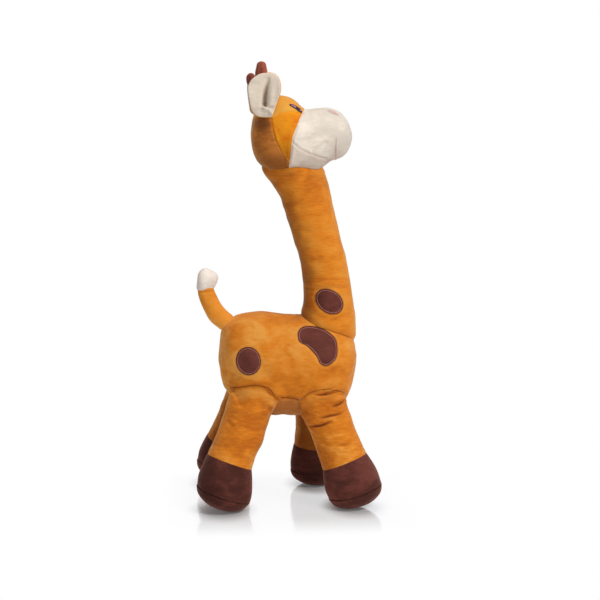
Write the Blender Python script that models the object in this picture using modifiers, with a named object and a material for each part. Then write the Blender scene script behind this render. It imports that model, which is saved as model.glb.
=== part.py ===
"""Plush giraffe standing on four stuffed legs: sewn skin panels over stuffing, with bending seams.

The toy's nose points along +X, its left side along +Y and its back up along +Z.
Tables are in millimetres and MM turns them into metres.
"""

import math

import bmesh
import bpy
from mathutils import Matrix, Vector

MM = 0.001

# Cloth and seams
SKIN = 1.4
GAP = 0.3
INSET = SKIN + 2 * GAP
CORE_INSET = 2.3
TIP_INSET = 3.2
RIM_TRIM = 1.1
PATCH = 1.2
SEAT_PLAY = 0.7
CORE_PLAY = 2.2
REACH = 500.0
FLAT = 0.5
TAPER = 0.9

# The middle of the toy's length, in the measured profile
MID_X = -12.336

# How far each sewn seam bends, in degrees
NECK_BEND = 12.0
HEAD_NOD = 12.0
LEG_SWING = 12.0
TAIL_WAG = 20.0
WAG_SPARE = 1.0

# Facets round each form
BODY_SIDES = 20
LIMB_SIDES = 16
TAIL_SIDES = 12
SEAT_SIDES = 24
SEAT_RINGS = 12
CORE_SIDES = 16
CORE_RINGS = 8

# One ring of a form: x, y, z of its middle, lean of its axis from straight up towards the nose
# in degrees, half its size in the toy's length-height plane, and half its width
TORSO_RINGS = (
    (-72.9, 0.0, 128.0, 90.0, 8.0, 7.0),
    (-70.5, 0.0, 129.0, 90.0, 23.0, 18.0),
    (-64.0, 0.0, 129.0, 90.0, 33.5, 27.5),
    (-53.0, 0.0, 126.5, 90.0, 41.5, 34.5),
    (-36.0, 0.0, 123.5, 90.0, 46.5, 39.0),
    (-14.0, 0.0, 122.0, 90.0, 46.5, 40.5),
    (8.0, 0.0, 121.5, 90.0, 46.0, 40.0),
    (25.0, 0.0, 121.5, 90.0, 44.0, 37.5),
    (37.0, 0.0, 122.5, 90.0, 37.5, 32.0),
    (45.0, 0.0, 124.0, 90.0, 27.5, 24.5),
    (49.5, 0.0, 126.5, 90.0, 15.5, 14.5),
    (51.0, 0.0, 127.5, 90.0, 6.0, 6.0),
)
HEAD_RINGS = (
    (-43.6, 0.0, 328.0, 90.0, 5.0, 5.0),
    (-42.0, 0.0, 328.0, 90.0, 14.5, 13.5),
    (-37.5, 0.0, 328.5, 90.0, 24.0, 21.5),
    (-29.0, 0.0, 327.2, 90.0, 32.6, 28.5),
    (-17.0, 0.0, 325.7, 90.0, 36.6, 31.5),
    (-6.0, 0.0, 323.7, 90.0, 35.7, 31.0),
    (4.0, 0.0, 320.0, 90.0, 31.0, 28.5),
    (14.0, 0.0, 321.7, 90.0, 29.6, 26.8),
    (25.0, 0.0, 327.5, 90.0, 24.0, 23.0),
    (35.0, 0.0, 327.5, 90.0, 19.3, 19.0),
    (42.0, 0.0, 326.0, 90.0, 12.8, 13.0),
    (45.8, 0.0, 325.0, 90.0, 5.0, 5.0),
)

# Ball ends seated in sockets: middle, half size in the length-height plane, half width
NECK_ROOT = (25.5, 0.0, 155.0)
NECK_ROOT_SIZE = (26.0, 24.0)
HEAD_SEAT = (-7.0, 0.0, 300.0)
HEAD_SEAT_SIZE = (27.5, 24.0)
NECK_RINGS = (
    (25.6, 0.0, 168.0, -4.0, 23.9, 23.0),
    (25.2, 0.0, 183.0, -7.0, 22.3, 22.0),
    (21.9, 0.0, 210.0, -11.0, 20.6, 20.8),
    (13.6, 0.0, 243.0, -15.5, 20.8, 21.0),
    (4.7, 0.0, 275.0, -16.0, 22.0, 21.8),
    (-2.2, 0.0, 291.0, -9.0, 24.4, 23.0),
)

HIP_SIZE = (20.5, 17.0)
HIP_Y = 23.5
HOOF_TOP_SIZE = (20.7, 19.5)
HOOF_FOOT_SIZE = (24.6, 23.0)
SOLE_DEPTH = 14.5
HOOF_FLARE = 0.6

# Each leg: hip x and z, hoof seam x, y, z and lean, sole seam x, y and lean
LEGS = {
    "front_right": ((17.5, 92.0), (37.1, -39.0, 40.0, 159.0), (46.0, -43.5, 163.5)),
    "front_left": ((17.5, 92.0), (18.0, 37.0, 39.5, 180.0), (18.5, 40.5, 181.0)),
    "hind_right": ((-43.8, 93.5), (-65.2, -41.0, 42.0, 200.0), (-71.0, -46.5, 199.0)),
    "hind_left": ((-43.8, 93.5), (-64.6, 40.0, 41.0, 201.0), (-70.6, 46.5, 200.0)),
}
THIGH = 0.33
SHIN = 0.68
THIGH_SIZE = (20.0, 17.8)
SHIN_SIZE = (19.4, 18.6)

TAIL_ROOT = (-63.0, 0.0, 157.0)
TAIL_ROOT_SIZE = (8.0, 8.0)
TAIL_LEAN = -50.0
TAIL_RINGS = (
    (-72.3, 0.0, 165.6, -42.0, 7.7, 7.0),
    (-79.8, 0.0, 176.0, -26.0, 7.4, 6.6),
    (-83.4, 0.0, 186.0, -9.0, 6.4, 6.0),
    (-84.3, 0.0, 193.0, 0.0, 6.0, 5.6),
)
TIP_RINGS = (
    (-84.3, 0.0, 193.3, 0.0, 6.2, 5.8),
    (-83.3, 0.0, 198.0, 2.0, 9.2, 7.0),
    (-82.6, 0.0, 203.5, 3.0, 9.2, 7.0),
    (-82.2, 0.0, 208.0, 3.0, 6.0, 4.8),
    (-82.1, 0.0, 209.6, 3.0, 2.6, 2.2),
)

HORN_SIZE = 4.9
HORNS = {
    "right": ((-32.5, -11.5, 352.0), (-34.8, -12.5, 386.8), -4.0),
    "left": ((-30.5, 11.5, 352.0), (-43.2, 12.5, 378.0), -26.0),
}

EAR_X = {"right": -32.4, "left": -30.5}
EAR_Y = {"right": 25.5, "left": 26.2}
EAR_Z = 344.5
EAR_HEIGHT = 37.5
EAR_FLARE = 7.0
EAR_CUP = 4.5
EAR_HALF_WIDTHS = (5.0, 8.8, 11.2, 12.9, 13.8, 12.0, 4.6)
EAR_RIM = 1.9
EAR_LAYER = 1.2
EAR_STEP = 2.0

# Flat outlines of the sewn-on spots, x and z, seen from the side
KIDNEY = (
    (-3.7, 152.0), (-0.6, 156.0), (6.0, 156.6), (14.0, 155.0), (21.0, 151.8), (26.5, 146.0),
    (29.0, 139.0), (27.5, 132.5), (23.0, 128.0), (18.3, 126.8), (14.3, 129.6), (11.8, 134.6),
    (7.4, 139.8), (2.3, 143.8), (-2.6, 147.0),
)
NECK_SPOT = ((24.9, 181.2), (13.0, 9.6), -36.0)
RUMP_SPOT = ((-47.9, 131.0), (10.4, 11.9), 0.0)
SPOT_SIDES = 20

# Face
EYE = ((-5.0, 19.5, 350.5), (7.2, 4.0))
EYE_LOOK = (0.35, 0.72, 0.6)
NOSTRIL = ((29.0, 11.0, 345.5), (4.2, 2.6))
NOSTRIL_LOOK = (0.45, 0.55, 0.7)
STITCH_SIDES = 14
STITCH = 0.8
MOUTH_X = 31.5
MOUTH_WIDTH = 1.8
MOUTH_TOP = 329.0
MOUTH_LEAN = -4.0

# Seams of the head, each a plane seen as a line: x and z of two points on it
BACK_SEAM = ((-26.0, 341.0), (-11.6, 305.0))
FACE_SEAM = ((-1.0, 347.0), (-13.5, 302.0))
BROW_Z = 347.0
JAW_SEAM = ((-6.0, 323.0), (24.0, 308.5))
BELLY_Z = 94.5

CLOTHS = {
    "tan_minky": (0.62, 0.2, 0.03, 0.9),
    "cream_minky": (0.82, 0.74, 0.63, 0.9),
    "brown_minky": (0.08, 0.028, 0.02, 0.85),
    "horn_cloth": (0.2, 0.055, 0.035, 0.85),
    "stuffing": (0.85, 0.85, 0.83, 1.0),
    "eye_thread": (0.12, 0.05, 0.16, 0.5),
    "pink_thread": (0.62, 0.27, 0.33, 0.5),
}


def start_scene():
    for obj in list(bpy.data.objects):
        bpy.data.objects.remove(obj, do_unlink=True)
    root = bpy.context.scene.collection
    toy = bpy.data.collections.new("plush_giraffe")
    cutters = bpy.data.collections.new("cutters")
    root.children.link(toy)
    root.children.link(cutters)
    cutters.hide_render = True
    return toy, cutters


TOY, CUTTERS = start_scene()


def make_cloths():
    made = {}
    for name, (red, green, blue, rough) in CLOTHS.items():
        cloth = bpy.data.materials.new(name)
        cloth.use_nodes = True
        cloth.diffuse_color = (red, green, blue, 1.0)
        shader = cloth.node_tree.nodes["Principled BSDF"]
        shader.inputs["Base Color"].default_value = (red, green, blue, 1.0)
        shader.inputs["Roughness"].default_value = rough
        made[name] = cloth
    return made


CLOTH = make_cloths()


def at(x, y, z):
    """A measured point in metres, with the toy's middle at x = 0."""
    return Vector(((x - MID_X) * MM, y * MM, z * MM))


def ring_matrix(ring):
    x, y, z, lean, half_length, half_width = ring
    turn = math.radians(lean)
    along = Vector((math.sin(turn), 0.0, math.cos(turn)))
    across = Vector((math.cos(turn), 0.0, -math.sin(turn)))
    side = Vector((0.0, 1.0, 0.0))
    basis = Matrix((across, side, along)).transposed().to_4x4()
    size = Matrix.Diagonal((half_length * MM, half_width * MM, 1.0, 1.0))
    return Matrix.Translation(at(x, y, z)) @ basis @ size


def add_object(name, bm, collection):
    bmesh.ops.recalc_face_normals(bm, faces=bm.faces)
    mesh = bpy.data.meshes.new(name)
    bm.to_mesh(mesh)
    bm.free()
    for face in mesh.polygons:
        face.use_smooth = True
    obj = bpy.data.objects.new(name, mesh)
    collection.objects.link(obj)
    if collection == CUTTERS:
        obj.hide_render = True
        obj.display_type = "WIRE"
    return obj


def loft(name, rings, sides, collection=None, open_start=False, open_end=False):
    """A form drawn out from ring to ring, with flat ends where it isn't left open."""
    bm = bmesh.new()
    before = ring_matrix(rings[0])
    bmesh.ops.create_circle(bm, cap_ends=False, segments=sides, radius=1.0, matrix=before)
    first = list(bm.edges)
    last = first
    for ring in rings[1:]:
        after = ring_matrix(ring)
        drawn = bmesh.ops.extrude_edge_only(bm, edges=last)["geom"]
        verts = [item for item in drawn if isinstance(item, bmesh.types.BMVert)]
        fresh = set(verts)
        last = [
            item for item in drawn
            if isinstance(item, bmesh.types.BMEdge) and fresh.issuperset(item.verts)
        ]
        bmesh.ops.transform(bm, matrix=after @ before.inverted(), verts=verts)
        before = after
    if not open_start:
        bmesh.ops.edgeloop_fill(bm, edges=first)
    if not open_end:
        bmesh.ops.edgeloop_fill(bm, edges=last)
    return add_object(name, bm, collection or TOY)


def between(start, end, share):
    return tuple(a + (b - a) * share for a, b in zip(start, end))


def grown(rings, by):
    return [(x, y, z, lean, a + by, b + by) for x, y, z, lean, a, b in rings]


def ball_rings(centre, lean, size, angles):
    """Rings of a ball end. An angle is how far a ring is past the middle, along the lean."""
    x, y, z = centre
    turn = math.radians(lean)
    rings = []
    for angle in angles:
        rise = size[0] * math.sin(math.radians(angle))
        share = math.cos(math.radians(angle))
        middle = (x + rise * math.sin(turn), y, z + rise * math.cos(turn))
        rings.append((*middle, lean, size[0] * share, size[1] * share))
    return rings


def skin(obj, thickness=SKIN, offset=-1.0):
    made = obj.modifiers.new("cloth", "SOLIDIFY")
    made.thickness = thickness * MM
    made.offset = offset
    made.use_even_offset = True
    made.use_rim = True


def shrink(obj, inset):
    """Draws a closed form in by the same depth all over."""
    made = obj.modifiers.new("inset", "DISPLACE")
    made.strength = -inset * MM
    made.mid_level = 0.0


def boolean(obj, other, operation="DIFFERENCE"):
    made = obj.modifiers.new(other.name, "BOOLEAN")
    made.operation = operation
    made.solver = "EXACT"
    made.object = other


def finish(obj, cloth, pivot):
    obj.data.materials.append(CLOTH[cloth])
    obj.parent = pivot
    obj.matrix_parent_inverse = pivot.matrix_world.inverted()


def pivot(name, point, parent=None):
    """An empty on the middle of a bending seam."""
    made = bpy.data.objects.new(name, None)
    made.empty_display_size = 0.01
    TOY.objects.link(made)
    made.location = at(*point)
    if parent:
        made.parent = parent
        made.location = at(*point) - parent.matrix_world.translation
    bpy.context.view_layer.update()
    return made


def seat(name, centre, size, play, sides, seat_rings):
    """The hollow that a ball end turns in, round the toy's side-to-side axis."""
    bm = bmesh.new()
    turn = Matrix.Rotation(math.radians(90.0), 4, "X")
    half = [(part + play) * MM for part in size]
    shape = Matrix.Diagonal((half[0], half[1], half[0], 1.0))
    bmesh.ops.create_uvsphere(
        bm, u_segments=sides, v_segments=seat_rings, radius=1.0,
        matrix=Matrix.Translation(at(*centre)) @ shape @ turn,
    )
    return add_object(name, bm, CUTTERS)


def wag_sweep(name, centre, size, rings, swing, play):
    """The room that rings on the toy's middle need when they swing from side to side."""
    turn = math.radians(swing)
    x, _, z = centre
    swept = []
    for ring in rings:
        away = math.hypot(ring[0] - x, ring[2] - z)
        way = math.atan2(ring[0] - x, ring[2] - z)
        along = away * math.cos(turn) - ring[5] * math.sin(turn)
        half = ring[5] * math.cos(turn) + away * math.sin(turn) + play
        middle = (x + along * math.sin(way), 0.0, z + along * math.cos(way))
        swept.append((*middle, math.degrees(way), ring[4] + play + WAG_SPARE, half))
    lean = swept[0][3]
    waist = (x, 0.0, z, lean, size[0] + play, size[1] / math.cos(turn) + play)
    return loft(name, [sunk(waist, size, turn), waist] + swept, LIMB_SIDES, CUTTERS)


def sunk(waist, size, turn):
    """The end of a sweep, inside the hollow for the ball."""
    x, y, z, lean = waist[:4]
    back = size[0] * math.sin(turn)
    way = math.radians(lean)
    middle = (x - back * math.sin(way), y, z - back * math.cos(way))
    return (*middle, lean, size[0] * TAPER, size[1] * TAPER)


def sweep(name, centre, size, rings, swing, play):
    """The room that a limb's rings need when it turns fore and aft by the swing."""
    turn = math.radians(swing)
    x, y, z = centre
    path = [(0.0, y, *size)]
    for ring in rings:
        path.append((math.hypot(ring[0] - x, ring[2] - z), ring[1], ring[4], ring[5]))
    swept = []
    for index, (away, side, length, width) in enumerate(path):
        if index:
            way = math.atan2(rings[index - 1][0] - x, rings[index - 1][2] - z)
            along = away * math.cos(turn) - length * math.sin(turn)
            half = length * math.cos(turn) + away * math.sin(turn) + play
        else:
            way = math.atan2(rings[0][0] - x, rings[0][2] - z)
            along = 0.0
            half = length / math.cos(turn) + play
        near = section(path, along - length * math.tan(turn))
        far = section(path, along + length * math.tan(turn))
        low = min(near[1] - near[3], far[1] - far[3], side - width) - play
        high = max(near[1] + near[3], far[1] + far[3], side + width) + play
        middle = (x + along * math.sin(way), (low + high) / 2, z + along * math.cos(way))
        swept.append((*middle, math.degrees(way), half, (high - low) / 2))
    return loft(name, [sunk(swept[0], size, turn)] + swept, LIMB_SIDES, CUTTERS)


def section(path, along):
    """A limb's section between two rings: how far along, place across, half length, half width."""
    along = max(along, path[0][0])
    for start, end in zip(path, path[1:]):
        if along <= end[0]:
            return between(start, end, (along - start[0]) / (end[0] - start[0]))
    return path[-1]


def socket(name, centre, size, rings, swing, room=sweep):
    """Cutters for one bending seam: a close pair for the cloth, a looser pair for the stuffing."""
    close = [
        seat(name + "_seat", centre, size, SEAT_PLAY, SEAT_SIDES, SEAT_RINGS),
        room(name + "_sweep", centre, size, rings, swing, SEAT_PLAY),
    ]
    loose = [
        seat(name + "_core_seat", centre, size, CORE_PLAY, CORE_SIDES, CORE_RINGS),
        room(name + "_core_sweep", centre, size, rings, swing, CORE_PLAY),
    ]
    return close, loose


def half_space(name, point, normal):
    """Takes away what lies on the normal's side of a seam, and half the seam's gap."""
    bm = bmesh.new()
    way = Vector(normal).normalized()
    turn = way.to_track_quat("Z", "Y").to_matrix().to_4x4()
    middle = at(*point) + way * (REACH - GAP / 2) * MM
    bmesh.ops.create_cube(bm, size=2 * REACH * MM, matrix=Matrix.Translation(middle) @ turn)
    return add_object(name, bm, CUTTERS)


def seam_sides(name, seam):
    """Both sides of a seam seen as a line: the half nearer the nose, and the half behind."""
    (x, z), (other_x, other_z) = seam
    normal = Vector((z - other_z, 0.0, other_x - x)).normalized()
    if normal.x < 0.0:
        normal = -normal
    ahead = half_space(name + "_ahead", (x, 0.0, z), normal)
    behind = half_space(name + "_behind", (x, 0.0, z), -normal)
    return ahead, behind


def outline_prism(name, outline, side):
    """A flat outline drawn out to one side of the toy."""
    bm = bmesh.new()
    corners = [bm.verts.new(at(x, side * GAP, z)) for x, z in outline]
    for before, after in zip(corners, corners[1:] + corners[:1]):
        bm.edges.new((before, after))
    bmesh.ops.edgeloop_fill(bm, edges=bm.edges)
    drawn = bmesh.ops.extrude_face_region(bm, geom=list(bm.faces))["geom"]
    verts = [item for item in drawn if isinstance(item, bmesh.types.BMVert)]
    bmesh.ops.translate(bm, vec=Vector((0.0, side * REACH * MM, 0.0)), verts=verts)
    return add_object(name, bm, CUTTERS)


def oval(centre, size, turn_degrees):
    turn = math.radians(turn_degrees)
    points = []
    for step in range(SPOT_SIDES):
        angle = 2.0 * math.pi * step / SPOT_SIDES
        across = size[0] * math.cos(angle)
        up = size[1] * math.sin(angle)
        points.append((
            centre[0] + across * math.cos(turn) - up * math.sin(turn),
            centre[1] + across * math.sin(turn) + up * math.cos(turn),
        ))
    return points


def oval_post(name, centre, size, way):
    """A short oval bar that stands on the cloth, pointing the way the stitching faces."""
    bm = bmesh.new()
    up = Vector(way).normalized()
    turn = up.to_track_quat("Z", "X").to_matrix().to_4x4()
    stretch = Matrix.Diagonal((size[1] / size[0], 1.0, 1.0, 1.0))
    bmesh.ops.create_cone(
        bm, cap_ends=True, segments=STITCH_SIDES, radius1=size[0] * MM, radius2=size[0] * MM,
        depth=size[0] * 2.0 * MM, matrix=Matrix.Translation(at(*centre)) @ turn @ stretch,
    )
    return add_object(name, bm, CUTTERS)


def patch(name, rings, sides, cutter, thickness, cloth, where, trims=()):
    """A thin piece sewn flat on a form, in the outline of its cutter."""
    obj = loft(name, grown(rings, GAP), sides)
    skin(obj, thickness, 1.0)
    boolean(obj, cutter, "INTERSECT")
    for trim in trims:
        boolean(obj, trim)
    finish(obj, cloth, where)
    return obj


def leg_rings(hip, hoof_top):
    """Rings of a leg below its ball end, down to the hoof seam."""
    x, z = hip
    side = math.copysign(1.0, hoof_top[1])
    start = (x, side * HIP_Y, z, hoof_top[3])
    rings = []
    for share, size in ((THIGH, THIGH_SIZE), (SHIN, SHIN_SIZE), (1.0, HOOF_TOP_SIZE)):
        rings.append((*between(start, hoof_top, share), *size))
    return rings


def hoof_rings(hoof_top, sole):
    middle = (*between(hoof_top, sole, HOOF_FLARE), *HOOF_FOOT_SIZE)
    return [(*hoof_top, *HOOF_TOP_SIZE), middle, (*sole, *HOOF_FOOT_SIZE)]


def grounded(sole):
    """The sole seam at the height where its dome reaches just under the floor."""
    x, y, lean = sole
    slope = math.sin(math.radians(lean))
    lows = [ring[2] - ring[4] * abs(slope) for ring in sole_rings((x, y, 0.0, lean))]
    return x, y, -FLAT - min(lows), lean


def sole_rings(sole, inset=0.0):
    x, y, z, lean = sole
    turn = math.radians(lean)
    rings = []
    for angle in (0.0, 28.0, 52.0, 74.0):
        rise = (SOLE_DEPTH - inset) * math.sin(math.radians(angle))
        share = math.cos(math.radians(angle))
        middle = (x + rise * math.sin(turn), y, z + rise * math.cos(turn))
        size = [(part - inset) * share for part in HOOF_FOOT_SIZE]
        rings.append((*middle, lean, *size))
    return rings


def trimmed(rings, start=0.0, end=0.0):
    """The rings with the seam gap taken off along the first and the last."""
    rings = list(rings)
    for index, cut, other in ((0, start, 1), (-1, end, -2)):
        here, there = Vector(rings[index][:3]), Vector(rings[other][:3])
        moved = here + (there - here).normalized() * cut
        rings[index] = (*moved, *rings[index][3:])
    return rings


def build_torso(neck_socket, tail_socket, leg_sockets, where):
    floor_up = half_space("belly_up", (0.0, 0.0, BELLY_Z), (0.0, 0.0, 1.0))
    floor_down = half_space("belly_down", (0.0, 0.0, BELLY_Z), (0.0, 0.0, -1.0))
    left_of = half_space("left_of_middle", (0.0, 0.0, 0.0), (0.0, 1.0, 0.0))
    right_of = half_space("right_of_middle", (0.0, 0.0, 0.0), (0.0, -1.0, 0.0))
    core = loft("torso_stuffing", TORSO_RINGS, BODY_SIDES)
    shrink(core, CORE_INSET)
    for close, loose in [neck_socket, tail_socket] + list(leg_sockets.values()):
        for cutter in loose:
            boolean(core, cutter)
    finish(core, "stuffing", where)
    for side, away in (("left", right_of), ("right", left_of)):
        flank = loft("flank_panel_" + side, TORSO_RINGS, BODY_SIDES)
        skin(flank)
        legs = [cut for name, pair in leg_sockets.items() if side in name for cut in pair[0]]
        for cutter in [away, floor_down] + neck_socket[0] + tail_socket[0] + legs:
            boolean(flank, cutter)
        finish(flank, "tan_minky", where)
    belly = loft("belly_panel", TORSO_RINGS, BODY_SIDES)
    skin(belly)
    for cutter in [floor_up] + [cut for pair in leg_sockets.values() for cut in pair[0]]:
        boolean(belly, cutter)
    finish(belly, "tan_minky", where)
    return left_of, right_of


def build_spots(torso, neck, neck_path, neck_socket):
    for side_name, side in (("right", -1.0), ("left", 1.0)):
        kidney = outline_prism("kidney_outline_" + side_name, KIDNEY, side)
        patch("shoulder_spot_" + side_name, TORSO_RINGS, BODY_SIDES, kidney, PATCH,
              "brown_minky", torso, neck_socket[0])
        rump = outline_prism("rump_outline_" + side_name, oval(*RUMP_SPOT), side)
        patch("rump_spot_" + side_name, TORSO_RINGS, BODY_SIDES, rump, PATCH,
              "brown_minky", torso)
        throat = outline_prism("neck_outline_" + side_name, oval(*NECK_SPOT), side)
        patch("neck_spot_" + side_name, neck_path, LIMB_SIDES, throat, PATCH,
              "brown_minky", neck)


def build_neck(where):
    root_lean, top_lean = -3.0, 0.0
    low = ball_rings(NECK_ROOT, root_lean, NECK_ROOT_SIZE, (-62.0, -32.0, 0.0))
    high = ball_rings(HEAD_SEAT, top_lean, HEAD_SEAT_SIZE, (0.0, 32.0, 62.0))
    cover = loft("neck_cover", low + list(NECK_RINGS) + high, LIMB_SIDES,
                 open_start=True, open_end=True)
    skin(cover)
    finish(cover, "tan_minky", where)
    root_size = [part - INSET for part in NECK_ROOT_SIZE]
    top_size = [part - INSET for part in HEAD_SEAT_SIZE]
    core_low = ball_rings(NECK_ROOT, root_lean, root_size, (-82.0, -62.0, -32.0, 0.0))
    core_high = ball_rings(HEAD_SEAT, top_lean, top_size, (0.0, 32.0, 62.0, 82.0))
    core = loft("neck_stuffing", core_low + grown(NECK_RINGS, -INSET) + core_high, LIMB_SIDES)
    finish(core, "stuffing", where)
    return low + list(NECK_RINGS) + high


def build_head(where, head_socket, left_of, right_of):
    core = loft("head_stuffing", HEAD_RINGS, BODY_SIDES)
    shrink(core, CORE_INSET)
    for cutter in head_socket[1]:
        boolean(core, cutter)
    finish(core, "stuffing", where)
    back_ahead, back_behind = seam_sides("back_seam", BACK_SEAM)
    face_ahead, face_behind = seam_sides("face_seam", FACE_SEAM)
    jaw_up, jaw_down = seam_sides("jaw_seam", JAW_SEAM)
    brow_up = half_space("brow_up", (0.0, 0.0, BROW_Z), (0.0, 0.0, 1.0))
    brow_down = half_space("brow_down", (0.0, 0.0, BROW_Z), (0.0, 0.0, -1.0))
    panels = {
        "head_back_panel": ("tan_minky", (back_ahead,)),
        "cheek_panel_left": ("tan_minky", (back_behind, face_ahead, brow_up, right_of)),
        "cheek_panel_right": ("tan_minky", (back_behind, face_ahead, brow_up, left_of)),
        "forehead_panel": ("tan_minky", (back_behind, face_ahead, brow_down)),
        "muzzle_panel": ("cream_minky", (face_behind, jaw_down)),
        "chin_panel": ("cream_minky", (face_behind, back_behind, jaw_up)),
    }
    for name, (cloth, cuts) in panels.items():
        panel = loft(name, HEAD_RINGS, BODY_SIDES)
        skin(panel)
        for cutter in list(cuts) + head_socket[0]:
            boolean(panel, cutter)
        finish(panel, cloth, where)


def build_face(where):
    mouth_low = half_space("mouth_low", (0.0, 0.0, MOUTH_TOP), (0.0, 0.0, 1.0))
    bm = bmesh.new()
    turn = Matrix.Rotation(math.radians(MOUTH_LEAN), 4, "Y")
    size = Matrix.Diagonal((MOUTH_WIDTH * MM, REACH * MM, REACH * MM, 1.0))
    middle = Matrix.Translation(at(MOUTH_X, 0.0, MOUTH_TOP))
    bmesh.ops.create_cube(bm, size=1.0, matrix=middle @ turn @ size)
    slab = add_object("mouth_line", bm, CUTTERS)
    patch("mouth_stitch", HEAD_RINGS, BODY_SIDES, slab, STITCH, "pink_thread", where,
          (mouth_low,))
    for side_name, side in (("right", -1.0), ("left", 1.0)):
        for name, shape, look, cloth in (
            ("eye", EYE, EYE_LOOK, "eye_thread"),
            ("nostril", NOSTRIL, NOSTRIL_LOOK, "pink_thread"),
        ):
            (x, y, z), half = shape
            way = (look[0], side * look[1], look[2])
            post = oval_post(name + "_outline_" + side_name, (x, side * y, z), half, way)
            patch(name + "_stitch_" + side_name, HEAD_RINGS, BODY_SIDES, post, STITCH,
                  cloth, where)


def build_horns(where):
    form = loft("head_form", grown(HEAD_RINGS, GAP), BODY_SIDES, CUTTERS)
    for side_name, (foot, top, lean) in HORNS.items():
        rings = [(*foot, lean, HORN_SIZE, HORN_SIZE)]
        rings += ball_rings(top, lean, (HORN_SIZE, HORN_SIZE), (0.0, 35.0, 68.0))
        horn = loft("horn_" + side_name, rings, TAIL_SIDES)
        boolean(horn, form)
        finish(horn, "horn_cloth", where)


def ear_leaf(name, root, side, rim, out):
    """A leaf that is widest half way up, cupped with its hollow facing outwards."""
    steps = len(EAR_HALF_WIDTHS) - 1
    bm = bmesh.new()
    bmesh.ops.create_grid(bm, x_segments=steps, y_segments=steps, size=1.0)
    for vert in bm.verts:
        across, up = vert.co.x, (vert.co.y + 1.0) / 2.0
        half = EAR_HALF_WIDTHS[round(up * steps)] - rim
        share = rim / EAR_HEIGHT
        height = share + up * (1.0 - 2.0 * share)
        curl = (across * half / max(EAR_HALF_WIDTHS)) ** 2 * math.sin(math.pi * height * TAPER)
        stand = root[1] + EAR_FLARE * height + EAR_CUP * curl + out
        vert.co = at(root[0] + across * half, side * stand, EAR_Z + EAR_HEIGHT * height)
    obj = add_object(name, bm, TOY)
    skin(obj, EAR_LAYER, 0.0)
    return obj


def build_ears(head):
    for side_name, side in (("right", -1.0), ("left", 1.0)):
        foot = (EAR_X[side_name], EAR_Y[side_name])
        root = pivot("ear_root_" + side_name, (foot[0], side * foot[1], EAR_Z), head)
        back = ear_leaf("ear_back_" + side_name, foot, side, 0.0, 0.0)
        finish(back, "tan_minky", root)
        lining = ear_leaf("ear_lining_" + side_name, foot, side, EAR_RIM, EAR_STEP)
        finish(lining, "cream_minky", root)


def build_leg(name, where, hip, hoof_top, sole, floor):
    x, z = hip
    side = math.copysign(1.0, hoof_top[1])
    centre = (x, side * HIP_Y, z)
    lean = hoof_top[3]
    ball = ball_rings(centre, lean, HIP_SIZE, (-62.0, -32.0, 0.0))
    shin = leg_rings(hip, hoof_top)
    cover = loft("leg_cover_" + name, trimmed(ball + shin, 0.0, GAP), LIMB_SIDES,
                 open_start=True, open_end=True)
    skin(cover)
    finish(cover, "tan_minky", where)
    size = [part - INSET for part in HIP_SIZE]
    core_ball = ball_rings(centre, lean, size, (-82.0, -62.0, -32.0, 0.0))
    core_rings = core_ball + grown(shin, -INSET)
    core_rings += grown(hoof_rings(hoof_top, sole)[1:2], -INSET) + sole_rings(sole, INSET)
    core = loft("leg_stuffing_" + name, core_rings, LIMB_SIDES)
    finish(core, "stuffing", where)
    hoof = loft("hoof_" + name, trimmed(hoof_rings(hoof_top, sole), 0.0, RIM_TRIM), LIMB_SIDES,
                open_start=True, open_end=True)
    skin(hoof)
    finish(hoof, "brown_minky", where)
    foot = loft("sole_" + name, sole_rings(sole), LIMB_SIDES, open_start=True)
    skin(foot)
    boolean(foot, floor)
    boolean(hoof, floor)
    finish(foot, "brown_minky", where)


def build_tail(where):
    ball = ball_rings(TAIL_ROOT, TAIL_LEAN, TAIL_ROOT_SIZE, (-60.0, -30.0, 0.0))
    cover = loft("tail_cover", ball + list(TAIL_RINGS), TAIL_SIDES,
                 open_start=True, open_end=True)
    skin(cover)
    finish(cover, "tan_minky", where)
    tip = loft("tail_tip", TIP_RINGS, TAIL_SIDES, open_start=True)
    skin(tip)
    finish(tip, "cream_minky", where)
    size = [part - INSET for part in TAIL_ROOT_SIZE]
    core_ball = ball_rings(TAIL_ROOT, TAIL_LEAN, size, (-80.0, -60.0, -30.0, 0.0))
    core_rings = core_ball + grown(TAIL_RINGS, -INSET) + grown(TIP_RINGS[1:3], -TIP_INSET)
    core = loft("tail_stuffing", core_rings, TAIL_SIDES)
    finish(core, "stuffing", where)


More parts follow.
